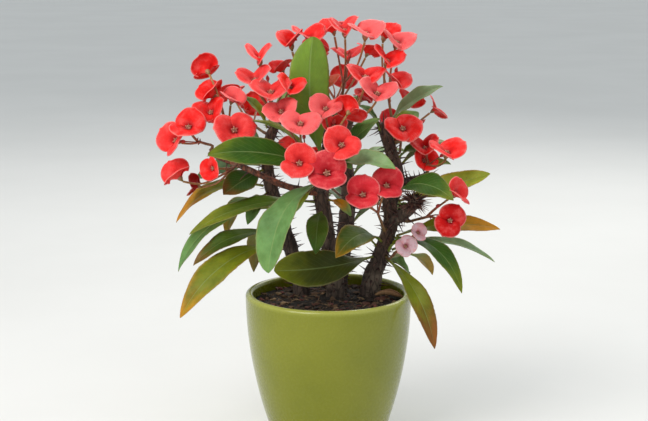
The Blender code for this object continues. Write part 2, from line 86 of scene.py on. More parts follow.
# Thorns
THORN_STEP = 1.15
TWIG_THORN_STEP = 6
THORN_LENGTHS = (4.5, 6.5, 8.5, 9.5)
THORN_CLEARANCE = 0.9
THORN_STEPS = 7
BARE_FOOT = 4

# Leaves
LEAF_STALK = 1.5
LEAF_TWIST = 0.4
LEAF_ROWS = 52
LEAF_COLUMNS = 16
LEAF_BROAD = (22, 29)
LEAF_WIDEST = (0.58, 0.62)
LEAF_TIP_FALL = (1.9, 2.5)
LEAF_TIP_ROUND = (0.8, 0.6)
SEAT = 0.5

# Blooms
USUAL_WIDTH = 24
BRACT_ROUND = radians(103)
BRACT_SPREAD = radians(84)
BRACT_SHRINK = 0.22
BRACT_CONE = 0.35
BRACT_ROWS = 13
BRACT_COLUMNS = 26
CUP_SHARE = 0.8
CUP_RINGS = ((-4.6, 0.75), (-3.6, 0.95), (-2.6, 1.65), (-1.4, 2.05), (-0.2, 1.95), (0.8, 1.75),
             (1.2, 1.45), (1, 1), (0.5, 0.45))

# Stalks
KNEE = 4
FORK_DROP = 15
FORK_REACH = 0.62
FORK_STEP = 2.4
STALK_RADII = (1.5, 1.1, 1, 0.95)
TWIG_RADII = (0.85, 0.72, 0.8)
BUD_STALK_RADII = (0.6, 0.5, 0.55)

# Each limb: its stem, the points of its middle line with its radius there, and how many thorns
# crowd round its tip.
LIMBS = {
    "right_trunk": ("stem_right", [
        (31, 13, ROOT_END, 6.5), (31, 13, 110, 7.4), (37, 11, 131, 6),
        (43, 7, 150, 5.6), (45, 4, 166, 5.4), (42, 2, 184, 4.8)], 34),
    "right_near": ("stem_right", [
        (44, 5, 160, 4.2), (52, -5, 166, 4.2), (58, -15, 174, 4), (60, -22, 181, 3.8)], 90),
    "right_high": ("stem_right", [
        (42, 5, 168, 4.6), (50, 13, 188, 5), (46, 19, 208, 4.6), (39, 20, 228, 3.8)], 12),
    "right_side": ("stem_right", [
        (49, 13, 186, 3.6), (61, 15, 188, 4), (73, 12, 192, 3.4)], 10),
    "middle_trunk": ("stem_middle", [
        (5, 9, ROOT_END, 6), (5, 9, 110, 6.8), (1, 6, 138, 6), (-3, 2, 164, 5.6),
        (-5, 1, 184, 5.2), (-2, 5, 206, 4.6), (2, 8, 226, 3.8)], 14),
    "middle_front": ("stem_middle", [
        (-5, 0, 184, 4.4), (-5, -15, 195, 4.4), (-3, -30, 206, 4), (-1, -38, 213, 3.4)], 8),
    "middle_twig": ("stem_middle", [
        (-5, 0, 182, 2.9), (-30, -5, 188, 2.4), (-62, -8, 203, 2.1), (-84, -9, 212, 1.9)], 0),
    "left_trunk": ("stem_left", [
        (-20, 16, ROOT_END, 5.5), (-20, 16, 110, 6.2), (-27, 16, 136, 5.4), (-36, 16, 165, 5),
        (-43, 16, 190, 4.6), (-44, 16, 212, 4), (-38, 16, 231, 3.4)], 14),
    "back_trunk": ("stem_back", [
        (8, 36, ROOT_END, 5.5), (8, 36, 110, 6.8), (12, 40, 140, 6.2), (15, 40, 175, 5.6),
        (12, 36, 208, 4.8), (15, 32, 236, 3.8)], 14),
}

# Each leaf: its limb, how far along that limb, its tip, its width, how far it arches out of a
# straight line, how far it is rolled on its rib, how far its halves fold up, the colours of its
# blade and of its tip, and where the tip's colour starts.
LEAVES = [
    ("middle_front", 0.45, (-41, -66, 139), 30, 16, 8, 14, "grey", "light", 0.95),
    ("middle_trunk", 0.86, (-11, -7, 294), 29, -9, 44, 10, "lit", "lit", 1),
    ("middle_front", 0.72, (-81, -60, 219), 24, 6, -48, 10, "deep", "olive", 0.9),
    ("middle_front", 0.86, (45, -58, 209), 17, 5, 30, 22, "pale", "light", 0.9),
    ("right_high", 1, (82, 17, 257), 17, 4, 28, 12, "pale", "pale", 1),
    ("right_trunk", 0.97, (86, -38, 184), 21, 9, 34, 12, "deep", "olive", 0.9),
    ("right_high", 0.16, (115, -4, 197), 19, 0, 45, 12, "lime", "orange", 1),
    ("right_trunk", 0.7, (124, 4, 155), 15, 6, 44, 12, "olive", "orange", 0.6),
    ("right_trunk", 0.6, (119, -10, 134), 12, 10, 8, 24, "pale", "pale", 1),
    ("right_trunk", 0.7, (94, -30, 116), 15, 14, 25, 12, "deep", "olive", 0.85),
    ("right_trunk", 0.54, (75, -36, 77), 15, 10, 24, 12, "olive", "brown", 0.7),
    ("right_trunk", 0.66, (5, -45, 145), 22, 10, -26, 14, "moss", "orange", 0.96),
    ("middle_trunk", 0.58, (-9, -34, 145), 16, 9, -14, 12, "moss", "deep", 0.9),
    # This leaf's dark tone is painted shade: it lies in shade between the stems.
    ("right_trunk", 0.52, (-38, -34, 133), 27, -3, -62, 8, "dark", "olive", 0.8),
    ("left_trunk", 0.42, (-105, -30, 98), 21, 13, -36, 12, "olive", "orange", 0.9),
    ("left_trunk", 0.47, (-97, -8, 131), 16, 9, -26, 12, "moss", "brown", 0.9),
    ("left_trunk", 0.6, (-109, 3, 124), 18, 14, -22, 12, "moss", "grey", 0.75),
    ("middle_trunk", 0.63, (-98, -24, 157), 17, 9, -24, 12, "moss", "olive", 0.7),
    ("left_trunk", 0.69, (-111, 14, 158), 18, 12, -22, 12, "lime", "orange", 0.66),
    ("left_trunk", 0.76, (-74, -16, 184), 21, 1, -34, 12, "deep", "brown", 0.85),
    ("left_trunk", 0.78, (-97, 20, 189), 19, 4, -34, 14, "blue", "grey", 0.9),
    ("middle_trunk", 0.78, (-54, -21, 237), 12, 9, -10, 20, "lime", "light", 0.9),
    ("right_high", 0.8, (66, 38, 236), 15, 3, 30, 14, "lime", "light", 0.8),
    ("middle_trunk", 0.82, (36, -10, 237), 19, 2, 40, 12, "deep", "light", 0.8),
    ("back_trunk", 0.56, (-8, 108, 148), 20, 16, 0, 14, "deep", "olive", 0.8),
    ("left_trunk", 0.6, (-78, 64, 138), 19, 16, 0, 14, "moss", "orange", 0.85),
    ("left_trunk", 0.86, (-82, 50, 216), 18, 8, 0, 14, "grey", "light", 0.9),
    ("back_trunk", 0.74, (-26, 92, 224), 18, 8, 0, 14, "deep", "deep", 1),
    ("back_trunk", 0.72, (60, 82, 200), 18, 8, 0, 14, "light", "olive", 0.9),
    ("right_high", 0.52, (98, 52, 208), 18, 8, 0, 14, "moss", "lime", 0.8),
    ("right_trunk", 0.45, (80, 60, 108), 19, 12, 0, 14, "olive", "orange", 0.7),
    ("left_trunk", 0.46, (-58, 78, 106), 19, 16, 0, 14, "olive", "brown", 0.7),
    ("left_trunk", 0.9, (-20, 48, 268), 16, 0, 0, 12, "light", "light", 1),
    ("back_trunk", 0.5, (62, 92, 142), 20, 16, 0, 14, "moss", "olive", 0.7),
]

# Small young leaves between the large ones: limb, how far along it, tip, width and colour.
YOUNG_LEAVES = [
    ("right_trunk", 0.6, (53, -8, 147), 7, "lime"),
    ("right_trunk", 0.5, (60, 24, 116), 14, "moss"),
    ("right_trunk", 0.6, (19, 0, 150), 8, "lime"),
    ("right_trunk", 0.78, (62, 12, 170), 9, "deep"),
    ("middle_trunk", 0.64, (16, -14, 168), 8, "orange"),
    ("middle_trunk", 0.7, (-26, -12, 168), 9, "lime"),
    ("middle_trunk", 0.97, (20, 16, 250), 11, "light"),
    ("left_trunk", 0.82, (-64, 2, 206), 11, "light"),
    ("left_trunk", 0.66, (-58, -4, 160), 10, "moss"),
    ("left_trunk", 0.95, (-62, 14, 250), 10, "lime"),
    ("right_high", 0.96, (22, 8, 244), 10, "deep"),
    ("right_high", 0.6, (66, 6, 212), 10, "moss"),
    ("right_side", 0.95, (88, 8, 202), 8, "lime"),
    ("middle_front", 0.95, (16, -46, 207), 9, "deep"),
    ("back_trunk", 0.97, (32, 18, 262), 12, "moss"),
    ("back_trunk", 0.9, (-10, 24, 252), 12, "deep"),
]

# Each cluster: its limb, how far along that limb, and its blooms. Each bloom: its middle, how far
# it turns right of straight ahead, how far it looks up, the turn of its two bracts on its own axis,
# its width when flat, how far its bracts are raised, and its colour.
CLUSTERS = {
    "blooms_left_low": ("left_trunk", 0.84, [
        ((-109, -5, 198), -50, 48, -30, 31, 48, "coral"),
        ((-97, 10, 186), -110, 10, 80, 22, 40, "crimson"),
        ((-82, -24, 204), -35, 10, 30, 22, 38, "red")]),
    "blooms_left": ("middle_twig", 1, [
        ((-98, -20, 234), -12, 46, 74, 31, 34, "red"),
        ((-110, -8, 222), -40, 22, -28, 31, 42, "coral")]),
    "blooms_left_high": ("middle_twig", 0.8, [
        ((-88, 15, 270), -150, 30, 60, 27, 34, "red"),
        ((-84, 6, 255), -60, 56, 10, 29, 48, "red"),
        ((-84, -4, 243), -25, 52, 30, 31, 42, "red"),
        ((-68, 4, 251), 30, 62, 32, 25, 42, "pink"),
        ((-65, -25, 232), 10, 38, 5, 33, 26, "coral")]),
    "blooms_top_left": ("left_trunk", 1, [
        ((-49, 2, 282), -14, 76, 14, 33, 56, "coral"),
        ((-52, -10, 267), -24, 68, 22, 32, 40, "coral"),
        ((-40, -25, 260), -10, 70, 8, 35, 36, "coral"),
        ((-34, 12, 272), -60, 72, 10, 24, 46, "red"),
        ((-26, -25, 263), 34, 60, -30, 28, 44, "red")]),
    "blooms_top": ("middle_trunk", 0.93, [
        ((-27, 4, 292), -30, 74, 4, 30, 54, "red"),
        ((-14, 8, 295), 0, 72, 22, 33, 44, "red"),
        ((-9, 14, 286), 44, 70, 48, 27, 44, "coral")]),
    "blooms_top_middle": ("back_trunk", 1, [
        ((11, 8, 301), -16, 74, 20, 32, 50, "coral"),
        ((26, -5, 299), 15, 74, 16, 33, 38, "pink"),
        ((3, 31, 299), -50, 76, 0, 26, 44, "red"),
        ((14, 32, 280), 0, 80, 0, 30, 36, "coral")]),
    "blooms_top_right": ("right_high", 1, [
        ((41, 26, 296), 45, 74, 0, 30, 50, "red"),
        ((49, 6, 292), 38, 68, -22, 33, 40, "pink"),
        ((42, -6, 280), 38, 66, -30, 32, 44, "red"),
        ((48, 2, 264), 52, 66, -20, 29, 42, "coral")]),
    "blooms_upper_middle": ("middle_trunk", 1, [
        ((-2, 12, 262), 0, 75, 0, 25, 38, "dusty"),
        ((26, -10, 269), 10, 72, -12, 34, 36, "red"),
        ((34, -26, 259), 20, 66, -26, 34, 38, "pink"),
        ((25, 6, 251), 60, 60, 30, 20, 35, "crimson")]),
    "blooms_middle_left": ("middle_front", 0.62, [
        ((-33, -32, 246), -20, 50, 30, 28, 30, "pink"),
        ((-19, -49, 240), 5, 60, -5, 31, 26, "pink"),
        ((-29, -15, 212), -60, 30, 30, 21, 35, "crimson")]),
    "blooms_middle": ("middle_front", 0.8, [
        ((-2, -29, 248), 0, 55, -25, 28, 34, "pink"),
        ((15, -30, 246), 150, 35, 70, 27, 22, "red"),
        ((4, -18, 234), 10, 40, 0, 22, 35, "coral")]),
    "blooms_front": ("middle_front", 1, [
        ((-20, -60, 214), -8, 32, 75, 30, 32, "coral"),
        ((-1, -63, 208), 3, 32, 88, 34, 34, "rose"),
        ((9, -56, 226), 10, 38, -48, 30, 30, "coral")]),
    "blooms_front_right": ("right_trunk", 0.74, [
        ((23, -56, 192), -4, 34, 84, 30, 36, "rose"),
        ((40, -48, 197), 10, 34, 75, 29, 36, "rose")]),
    "blooms_right_low": ("right_near", 0.25, [
        ((85, -30, 168), 8, 12, 60, 25, 18, "scarlet"),
        ((91, -25, 187), 60, 34, 50, 27, 40, "coral")]),
    "blooms_right": ("right_side", 1, [
        ((69, 8, 216), -12, 62, 14, 27, 42, "scarlet"),
        ((84, -6, 215), 20, 70, 2, 33, 36, "red"),
        ((70, 11, 205), 30, 35, -25, 24, 35, "red")]),
    "blooms_right_high": ("right_high", 0.76, [
        ((53, 0, 230), 10, 50, 12, 31, 26, "red"),
        ((47, 32, 222), -20, 40, 20, 22, 35, "crimson")]),
    "faded_blooms": ("right_trunk", 0.56, [
        ((55, -17, 147), 10, 15, 35, 18, 30, "faded"),
        ((64, -17, 157), 30, 25, 60, 16, 35, "faded")]),
    "blooms_back_left": ("left_trunk", 0.92, [
        ((-72, 46, 250), -140, 50, 20, 25, 28, "coral"),
        ((-54, 64, 238), 180, 30, 70, 25, 25, "red"),
        ((-84, 34, 236), -110, 30, 20, 22, 35, "rose")]),
    "blooms_back": ("back_trunk", 0.95, [
        ((-10, 64, 274), -160, 50, 30, 25, 28, "red"),
        ((12, 72, 258), 170, 30, 80, 25, 25, "coral"),
        ((-32, 57, 254), -130, 40, 0, 22, 35, "pink"),
        ((30, 56, 280), 130, 60, 0, 24, 35, "red")]),
    "blooms_back_right": ("right_high", 0.66, [
        ((62, 58, 244), 140, 45, 20, 25, 28, "red"),
        ((80, 44, 238), 100, 35, 60, 24, 28, "coral"),
        ((48, 66, 226), 170, 20, 40, 22, 30, "rose")]),
    "blooms_back_low": ("back_trunk", 0.62, [
        ((-30, 82, 202), -150, 20, 40, 24, 26, "coral"),
        ((-8, 90, 192), 170, 15, 90, 24, 26, "red")]),
}

LEAF_TONES = {
    "grey": (0.135, 0.27, 0.08), "light": (0.18, 0.32, 0.09), "lit": (0.17, 0.3, 0.008),
    "deep": (0.034, 0.098, 0.004), "blue": (0.11, 0.23, 0.095), "lime": (0.29, 0.33, 0.02),
    # The dark tone is painted shade, for the low leaf that lies in shade between the stems.
    "olive": (0.18, 0.205, 0.006), "moss": (0.07, 0.125, 0.005), "dark": (0.05, 0.06, 0.002),
    "pale": (0.26, 0.38, 0.18), "orange": (0.56, 0.23, 0.008), "brown": (0.22, 0.075, 0.01),
}

BLOOM_TONES = {
    "red": (0.86, 0.016, 0.012), "scarlet": (0.6, 0.004, 0.003), "coral": (0.86, 0.04, 0.036),
    "pink": (0.88, 0.115, 0.115), "rose": (0.64, 0.028, 0.04), "crimson": (0.36, 0.005, 0.007),
    "dusty": (0.7, 0.15, 0.06), "faded": (0.82, 0.6, 0.65),
}

TONES = {
    "glaze_dark": (0.19, 0.204, 0.006), "glaze_light": (0.216, 0.226, 0.008),
    # The rim tone is paler: the glaze thinning over the lip, and a painted highlight along it.
    "glaze_speck": (0.12, 0.11, 0.01), "glaze_rim": (0.44, 0.45, 0.1),
    "soil_damp": (0.01, 0.007, 0.005), "soil_dry": (0.03, 0.017, 0.01),
    "soil_pore": (0.006, 0.004, 0.003), "soil_crumb": (0.12, 0.06, 0.025),
    "chip_streak": (0.05, 0.025, 0.012),
    "fibre_dark": (0.09, 0.05, 0.025), "fibre_light": (0.3, 0.19, 0.1),
    "dry_light": (0.42, 0.25, 0.12), "dry_dark": (0.22, 0.1, 0.045),
    "bark_grey": (0.125, 0.088, 0.064), "bark_brown": (0.088, 0.054, 0.044),
    "bark_young": (0.15, 0.062, 0.03), "bark_twig": (0.3, 0.09, 0.045),
    "bark_streak": (0.04, 0.024, 0.018), "bark_patch": (0.23, 0.17, 0.125),
    "bark_crack": (0.012, 0.008, 0.006),
    "thorn": (0.05, 0.014, 0.012), "thorn_tip": (0.19, 0.08, 0.05),
    "thorn_foot": (0.1, 0.075, 0.06),
    "leaf_mottle": (0.5, 0.58, 0.4), "leaf_under": (0.16, 0.25, 0.06),
    "leaf_vein": (0.22, 0.32, 0.1), "leaf_rib": (0.26, 0.34, 0.12),
    "leaf_edge": (0.3, 0.26, 0.1), "leaf_spot": (0.16, 0.09, 0.02),
    "bract_glow": (0.95, 0.17, 0.16), "bract_shade": (0.48, 0.004, 0.006),
    "bract_throat": (0.34, 0.006, 0.012), "bract_vein": (0.5, 0.01, 0.016),
    # The throat tone: the bract's deeper red near the cup, with painted shade in the bloom's cupped
    # middle.
    "bract_rim": (0.95, 0.34, 0.31),
    "stalk_low": (0.2, 0.13, 0.045), "stalk_high": (0.36, 0.1, 0.055),
    "stalk_end": (0.42, 0.22, 0.06), "stalk_patch": (0.3, 0.1, 0.06),
    "scale": (0.26, 0.07, 0.04), "bud": (0.58, 0.035, 0.03),
    "cup": (0.42, 0.16, 0.1), "cup_faded": (0.55, 0.35, 0.2),
    # The cup's mouth tone is painted shade in its opening.
    "cup_foot": (0.3, 0.22, 0.06), "cup_mouth_shade": (0.1, 0.01, 0.012),
    "gland_light": (0.62, 0.3, 0.22), "gland_dark": (0.5, 0.16, 0.12),
    "pollen": (0.75, 0.6, 0.32),
    "floor_dark": (0.72, 0.71, 0.69), "floor_light": (0.75, 0.74, 0.72),
}

CHIP_TONES = [(0.13, 0.068, 0.032), (0.1, 0.036, 0.022), (0.045, 0.025, 0.016),
              (0.24, 0.15, 0.075), (0.13, 0.028, 0.022), (0.024, 0.015, 0.01)]


def mix(a, b, share):
    share = min(1, max(0, share))
    return tuple(x + (y - x) * share for x, y in zip(a, b))


def ease(low, high, value):
    """A smooth step from 0 to 1 between low and high."""
    t = min(1, max(0, (value - low) / (high - low)))
    return t * t * (3 - 2 * t)


# Materials

class Nodes:
    """A material's node tree."""

    def __init__(self, name, roughness, **constants):
        self.material = bpy.data.materials.new(name)
        self.material.use_nodes = True
        self.tree = self.material.node_tree
        self.shader = self.tree.nodes["Principled BSDF"]
        self.shader.inputs["Roughness"].default_value = roughness
        for socket, value in constants.items():
            self.shader.inputs[socket.replace("_", " ")].default_value = value

    def add(self, kind, links=(), **settings):
        """A node with its settings, and its inputs linked or set."""
        node = self.tree.nodes.new("ShaderNode" + kind)
        for key, value in settings.items():
            setattr(node, key, value)
        for socket, value in dict(links).items():
            if isinstance(value, bpy.types.NodeSocket):
                self.tree.links.new(value, node.inputs[socket])
            else:
                node.inputs[socket].default_value = value
        return node

    def tone(self):
        """The colour that each point carries."""
        return self.add("Attribute", attribute_name="tone").outputs["Color"]

    def traits(self):
        """The three numbers that each point carries."""
        carried = self.add("Attribute", attribute_name="trait").outputs["Vector"]
        return tuple(self.add("SeparateXYZ", {"Vector": carried}).outputs)

    def place(self, stretch=None):
        """The place on the object in metres, stretched if asked."""
        spot = self.add("TexCoord").outputs["Object"]
        if stretch:
            spot = self.add("Mapping", {"Vector": spot, "Scale": stretch}).outputs[0]
        return spot

    def noise(self, scale, detail=3, roughness=0.55, place=None):
        return self.add("TexNoise", {"Vector": place or self.place(), "Scale": scale,
                                     "Detail": detail, "Roughness": roughness}).outputs["Fac"]

    def math(self, operation, a, b=0):
        return self.add("Math", {0: a, 1: b}, operation=operation).outputs[0]

    def total(self, *terms):
        """The sum of (value, weight) pairs."""
        parts = [self.math("MULTIPLY", value, weight) for value, weight in terms]
        return functools.reduce(lambda a, b: self.math("ADD", a, b), parts)

    def ramp(self, value, low, high, start=0, end=1):
        """A value's smooth passage from start to end."""
        ends = {"Value": value, "From Min": low, "From Max": high, "To Min": start, "To Max": end}
        return self.add("MapRange", ends, interpolation_type="SMOOTHSTEP").outputs["Result"]

    def stripes(self, value, half_width):
        """1 on a thin line in each whole step of a value, and 0 between them."""
        away = self.math("SUBTRACT", self.math("FRACT", value), 0.5)
        return self.ramp(self.math("ABSOLUTE", away), 0, half_width, 1, 0)

    def blend(self, share, a, b, how="MIX"):
        """A mix of two colours, each a socket or the name of a tone."""
        a, b = (c if isinstance(c, bpy.types.NodeSocket) else (*TONES[c], 1) for c in (a, b))
        return self.add("Mix", {0: share, 6: a, 7: b}, data_type="RGBA", blend_type=how).outputs[2]

    def tint(self, colour, mask, strength, tone):
        """A colour with some of another tone where a mask is 1."""
        return self.blend(self.math("MULTIPLY", mask, strength), colour, tone)

    def finish(self, colour, height, strength, depth, roughness=None):
        """Links the colour, the bump from a height in millimetres, and the roughness."""
        self.tree.links.new(colour, self.shader.inputs["Base Color"])
        bump = self.add("Bump", {"Height": height, "Strength": strength, "Distance": depth * METRE})
        self.tree.links.new(bump.outputs[0], self.shader.inputs["Normal"])
        if roughness is not None:
            self.tree.links.new(roughness, self.shader.inputs["Roughness"])
        return self.material


def glaze_material():
    m = Nodes("olive_glaze", 0.3, Coat_Weight=0.4, Coat_Roughness=0.08, Specular_IOR_Level=0.3)
    fine = m.noise(420, 3, 0.6)
    speck = m.ramp(m.noise(900, 2, 0.5), 0.66, 0.74)
    height, _, _ = m.traits()
    colour = m.blend(m.ramp(m.noise(22, 4, 0.6), 0.3, 0.7), "glaze_dark", "glaze_light")
    colour = m.tint(colour, speck, 0.2, "glaze_speck")
    # The lip is paler: partly the glaze thinning over it, partly a painted highlight along the rim.
    colour = m.tint(colour, m.ramp(height, 0.96, 1), 0.6, "glaze_rim")
    wave = m.total((m.noise(60), 0.93), (fine, 0.07))
    return m.finish(colour, wave, 0.14, 0.4, m.ramp(fine, 0.2, 0.8, 0.24, 0.3))


def soil_material():
    m = Nodes("soil_mix", 0.95)
    grain = m.noise(700, 6, 0.7)
    clump = m.noise(160, 5, 0.65)
    colour = m.blend(m.ramp(grain, 0.35, 0.7), m.tone(), "soil_pore")
    colour = m.tint(colour, m.ramp(clump, 0.62, 0.7), 0.6, "soil_crumb")
    return m.finish(colour, m.math("ADD", grain, clump), 0.9, 0.9,
                    m.ramp(clump, 0.3, 0.7, 0.98, 0.8))


def chip_material():
    m = Nodes("bark_chips", 0.85)
    tone = m.tone()
    streak = m.noise(500, 5, 0.7, m.place((3, 1, 0.6)))
    colour = m.blend(m.ramp(streak, 0.3, 0.7), tone, "chip_streak", "MULTIPLY")
    colour = m.blend(m.ramp(streak, 0.35, 0.65, 0, 0.55), tone, colour)
    return m.finish(colour, streak, 0.7, 0.4)


def bark_material():
    """Rough cracked bark, and dark thorns with lighter tips."""
    m = Nodes("thorny_bark", 0.8)
    along, _, thorn = m.traits()
    place = m.place((1, 1, 0.3))
    streak = m.noise(380, 6, 0.65, place)
    patch = m.noise(75, 4, 0.6)
    crack = m.add("TexVoronoi", {"Vector": place, "Scale": 260},
                  feature="DISTANCE_TO_EDGE").outputs["Distance"]
    colour = m.blend(m.ramp(streak, 0.32, 0.68), m.tone(), "bark_streak")
    colour = m.tint(colour, m.ramp(patch, 0.52, 0.66), 0.6, "bark_patch")
    colour = m.tint(colour, m.ramp(crack, 0, 0.08, 1, 0), 0.6, "bark_crack")
    horn = m.blend(m.ramp(along, 0.25, 0.95), "thorn", "thorn_tip")
    horn = m.blend(m.ramp(along, 0, 0.2, 0.7, 0), horn, "thorn_foot")
    colour = m.blend(thorn, colour, horn)
    height = m.math("ADD", streak, m.ramp(crack, 0, 0.1))
    return m.finish(colour, height, 0.8, 0.7, m.ramp(thorn, 0, 1, 0.82, 0.42))


def leaf_material():
    """A mottled blade with a pale midrib, side veins and a thin light edge."""
    m = Nodes("leaf_blade", 0.42, Subsurface_Weight=0.06, Subsurface_Scale=0.002,
              Specular_IOR_Level=0.22)
    along, across, side = m.traits()
    out = m.math("ABSOLUTE", across)
    mottle = m.noise(130, 5, 0.6)
    wander = m.math("MULTIPLY", m.noise(90, 2), 0.06)
    vein = m.stripes(m.total((along, 15), (out, -3.6), (wander, 14)), 0.09)
    vein = m.math("MULTIPLY", vein, m.ramp(out, 0.86, 0.97, 1, 0))
    rib = m.ramp(out, 0.015, 0.06, 1, 0)
    edge = m.ramp(m.math("ADD", out, wander), 0.945, 0.995)
    spot = m.ramp(m.noise(520, 2, 0.5), 0.7, 0.76)
    colour = m.blend(m.ramp(mottle, 0.3, 0.7, 0, 0.6), m.tone(), "leaf_mottle", "MULTIPLY")
    colour = m.tint(colour, m.ramp(side, -0.2, 0.2, 1, 0), 0.35, "leaf_under")
    colour = m.tint(colour, vein, 0.13, "leaf_vein")
    colour = m.tint(colour, rib, 0.38, "leaf_rib")
    colour = m.tint(colour, edge, 0.5, "leaf_edge")
    colour = m.tint(colour, spot, 0.5, "leaf_spot")
    height = m.total((m.noise(1100), 0.25), (vein, -0.35), (rib, -0.6))
    return m.finish(colour, height, 0.5, 0.4, m.ramp(mottle, 0.3, 0.7, 0.42, 0.58))


def bract_material():
    """Finely veined, lighter at the rim, and darker in the throat: a deeper red with painted shade.
    """
    m = Nodes("bract", 0.55, Subsurface_Weight=0.12, Subsurface_Scale=0.002,
              Specular_IOR_Level=0.12)
    out, turn, side = m.traits()
    cloud = m.noise(160, 4, 0.6)
    inside = m.ramp(side, -0.2, 0.2)
    # Darker towards the middle on the inner side: a deeper red there, with painted shade where the
    # bracts cup round.
    throat = m.math("MULTIPLY", m.ramp(out, 0.08, 0.4, 0.8, 0), inside)
    vein = m.stripes(m.total((turn, 9), (m.noise(320, 2), 1.2)), 0.2)
    vein = m.math("MULTIPLY", vein, m.ramp(out, 0.2, 0.35))
    rim = m.ramp(m.total((out, 1), (cloud, 0.08)), 0.93, 1.04)
    colour = m.blend(m.ramp(cloud, 0.45, 0.7, 0, 0.4), m.tone(), "bract_glow")
    colour = m.blend(m.ramp(cloud, 0.5, 0.28, 0, 0.45), colour, "bract_shade")
    colour = m.blend(throat, colour, "bract_throat")
    colour = m.tint(colour, vein, 0.32, "bract_vein")
    colour = m.tint(colour, rim, 0.55, "bract_rim")
    height = m.total((vein, -0.5), (m.noise(900), 0.35))
    return m.finish(colour, height, 0.45, 0.35, m.ramp(cloud, 0.3, 0.7, 0.42, 0.58))


def stalk_material():
    m = Nodes("stalk_and_cup", 0.48, Subsurface_Weight=0.05, Subsurface_Scale=0.001)
    patch = m.noise(420, 4, 0.6)
    colour = m.blend(m.ramp(patch, 0.35, 0.7, 0, 0.5), m.tone(), "stalk_patch", "MULTIPLY")
    return m.finish(colour, m.noise(1400), 0.4, 0.2, m.ramp(patch, 0.3, 0.7, 0.4, 0.58))


def floor_material():
    m = Nodes("pale_floor", 0.6)
    colour = m.blend(m.ramp(m.noise(3, 4), 0.3, 0.7), "floor_dark", "floor_light")
    return m.finish(colour, m.noise(400, 4), 0.08, 0.5)


GLAZE = glaze_material()
SOIL = soil_material()
CHIPS = chip_material()
BARK = bark_material()
LEAF = leaf_material()
BRACT = bract_material()
STALK = stalk_material()


def add_object(name, data):
    made = bpy.data.objects.new(name, data)
    bpy.context.scene.collection.objects.link(made)
    return made


# Meshes

class Shape:
    """Points in millimetres and faces, with a tone and a trait for each point."""

    def __init__(self):
        self.points, self.faces, self.kinds = [], [], []
        self.tones, self.traits = [], []

    def add(self, points, faces, tones, traits, kind=0):
        """More of them; a tone or trait that isn't a list goes to every point."""
        first = len(self.points)
        self.points += points
        self.faces += [tuple(first + index for index in face) for face in faces]
        self.kinds += [kind] * len(faces)
        self.tones += tones if isinstance(tones, list) else [tones] * len(points)
        self.traits += traits if isinstance(traits, list) else [traits] * len(points)

    def make(self, name, materials, slot, node=None, smooth=True):
        """The piece, which replaces a node of the solids if one is named."""
        mesh = bpy.data.meshes.new(name)
        mesh.from_pydata([p * METRE for p in self.points], [], self.faces)
        for made in materials:
            mesh.materials.append(made)
        mesh.polygons.foreach_set("material_index", self.kinds)
        mesh.polygons.foreach_set("use_smooth", [smooth] * len(self.faces))
        tone = mesh.attributes.new("tone", "FLOAT_COLOR", "POINT")
        tone.data.foreach_set("color", [x for t in self.tones for x in (*t, 1)])
        trait = mesh.attributes.new("trait", "FLOAT_VECTOR", "POINT")
        trait.data.foreach_set("vector", [x for t in self.traits for x in t])
        mesh.update()
        piece = add_object(name, mesh)
        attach(piece, "root")
        if node:
            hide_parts(node)


def smooth_line(points, step):
    """(point, radius) pairs a step apart on a smooth curve through the given ones."""
    knots = [Vector(p) for p in points]
    line = []
    for i in range(len(knots) - 1):
        before, start, end = knots[max(i - 1, 0)], knots[i], knots[i + 1]
        after = knots[min(i + 2, len(knots) - 1)]
        count = max(1, round((end - start).length / step))
        for k in range(count):
            t = k / count
            line.append(start + 0.5 * ((end - before) * t
                                       + (2 * before - 5 * start + 4 * end - after) * t ** 2
                                       + (3 * start - before - 3 * end + after) * t ** 3))
    line.append(knots[-1])
    return [(p.xyz, p.w) for p in line]


def spokes(count, first=Vector((1, 0, 0)), second=Vector((0, 1, 0)), start=0):
    """Directions spread evenly round in the plane of two others."""
    turns = [2 * pi * k / count + start for k in range(count)]
    return [cos(turn) * first + sin(turn) * second for turn in turns]


def ring_faces(first, last, sides):
    """The quads between the rings of points from first to last."""
    faces = []
    for start in range(first, last - sides, sides):
        for k in range(sides):
            a, b = start + k, start + (k + 1) % sides
            faces.append((a, b, b + sides, a + sides))
    return faces


def closed_faces(count, sides):
    """All the quads, with a cap on the first ring and on the last."""
    faces = ring_faces(0, count, sides)
    faces.append(tuple(reversed(range(sides))))
    faces.append(tuple(range(count - sides, count)))
    return faces


def tube(shape, line, sides, tones, mark=0, kind=0, rough=0, grain=4):
    """A closed tube round (point, radius) pairs, with its skin pushed in and out by noise."""
    middles = [middle for middle, _ in line]
    across = (middles[1] - middles[0]).orthogonal()
    points, colours, traits = [], [], []
    for i, (middle, radius) in enumerate(line):
        along = (middles[min(i + 1, len(line) - 1)] - middles[max(i - 1, 0)]).normalized()
        across = (across - along * across.dot(along)).normalized()
        for outward in spokes(sides, across, along.cross(across)):
            push = 0
            if rough:
                spot = middle + outward * radius
                push = rough * (noise(spot / grain) + 0.6 * noise(spot / grain * 2.7))
            points.append(middle + (radius + push) * outward)
        colours += [tones[i] if isinstance(tones, list) else tones] * sides
        traits += [(i / (len(line) - 1), 0, mark)] * sides
    shape.add(points, closed_faces(len(points), sides), colours, traits, kind)


def steps(count):
    """Even steps from 0 to 1."""
    return [k / count for k in range(count + 1)]


def spread(count):
    """Even steps from -1 to 1."""
    return [2 * t - 1 for t in steps(count)]


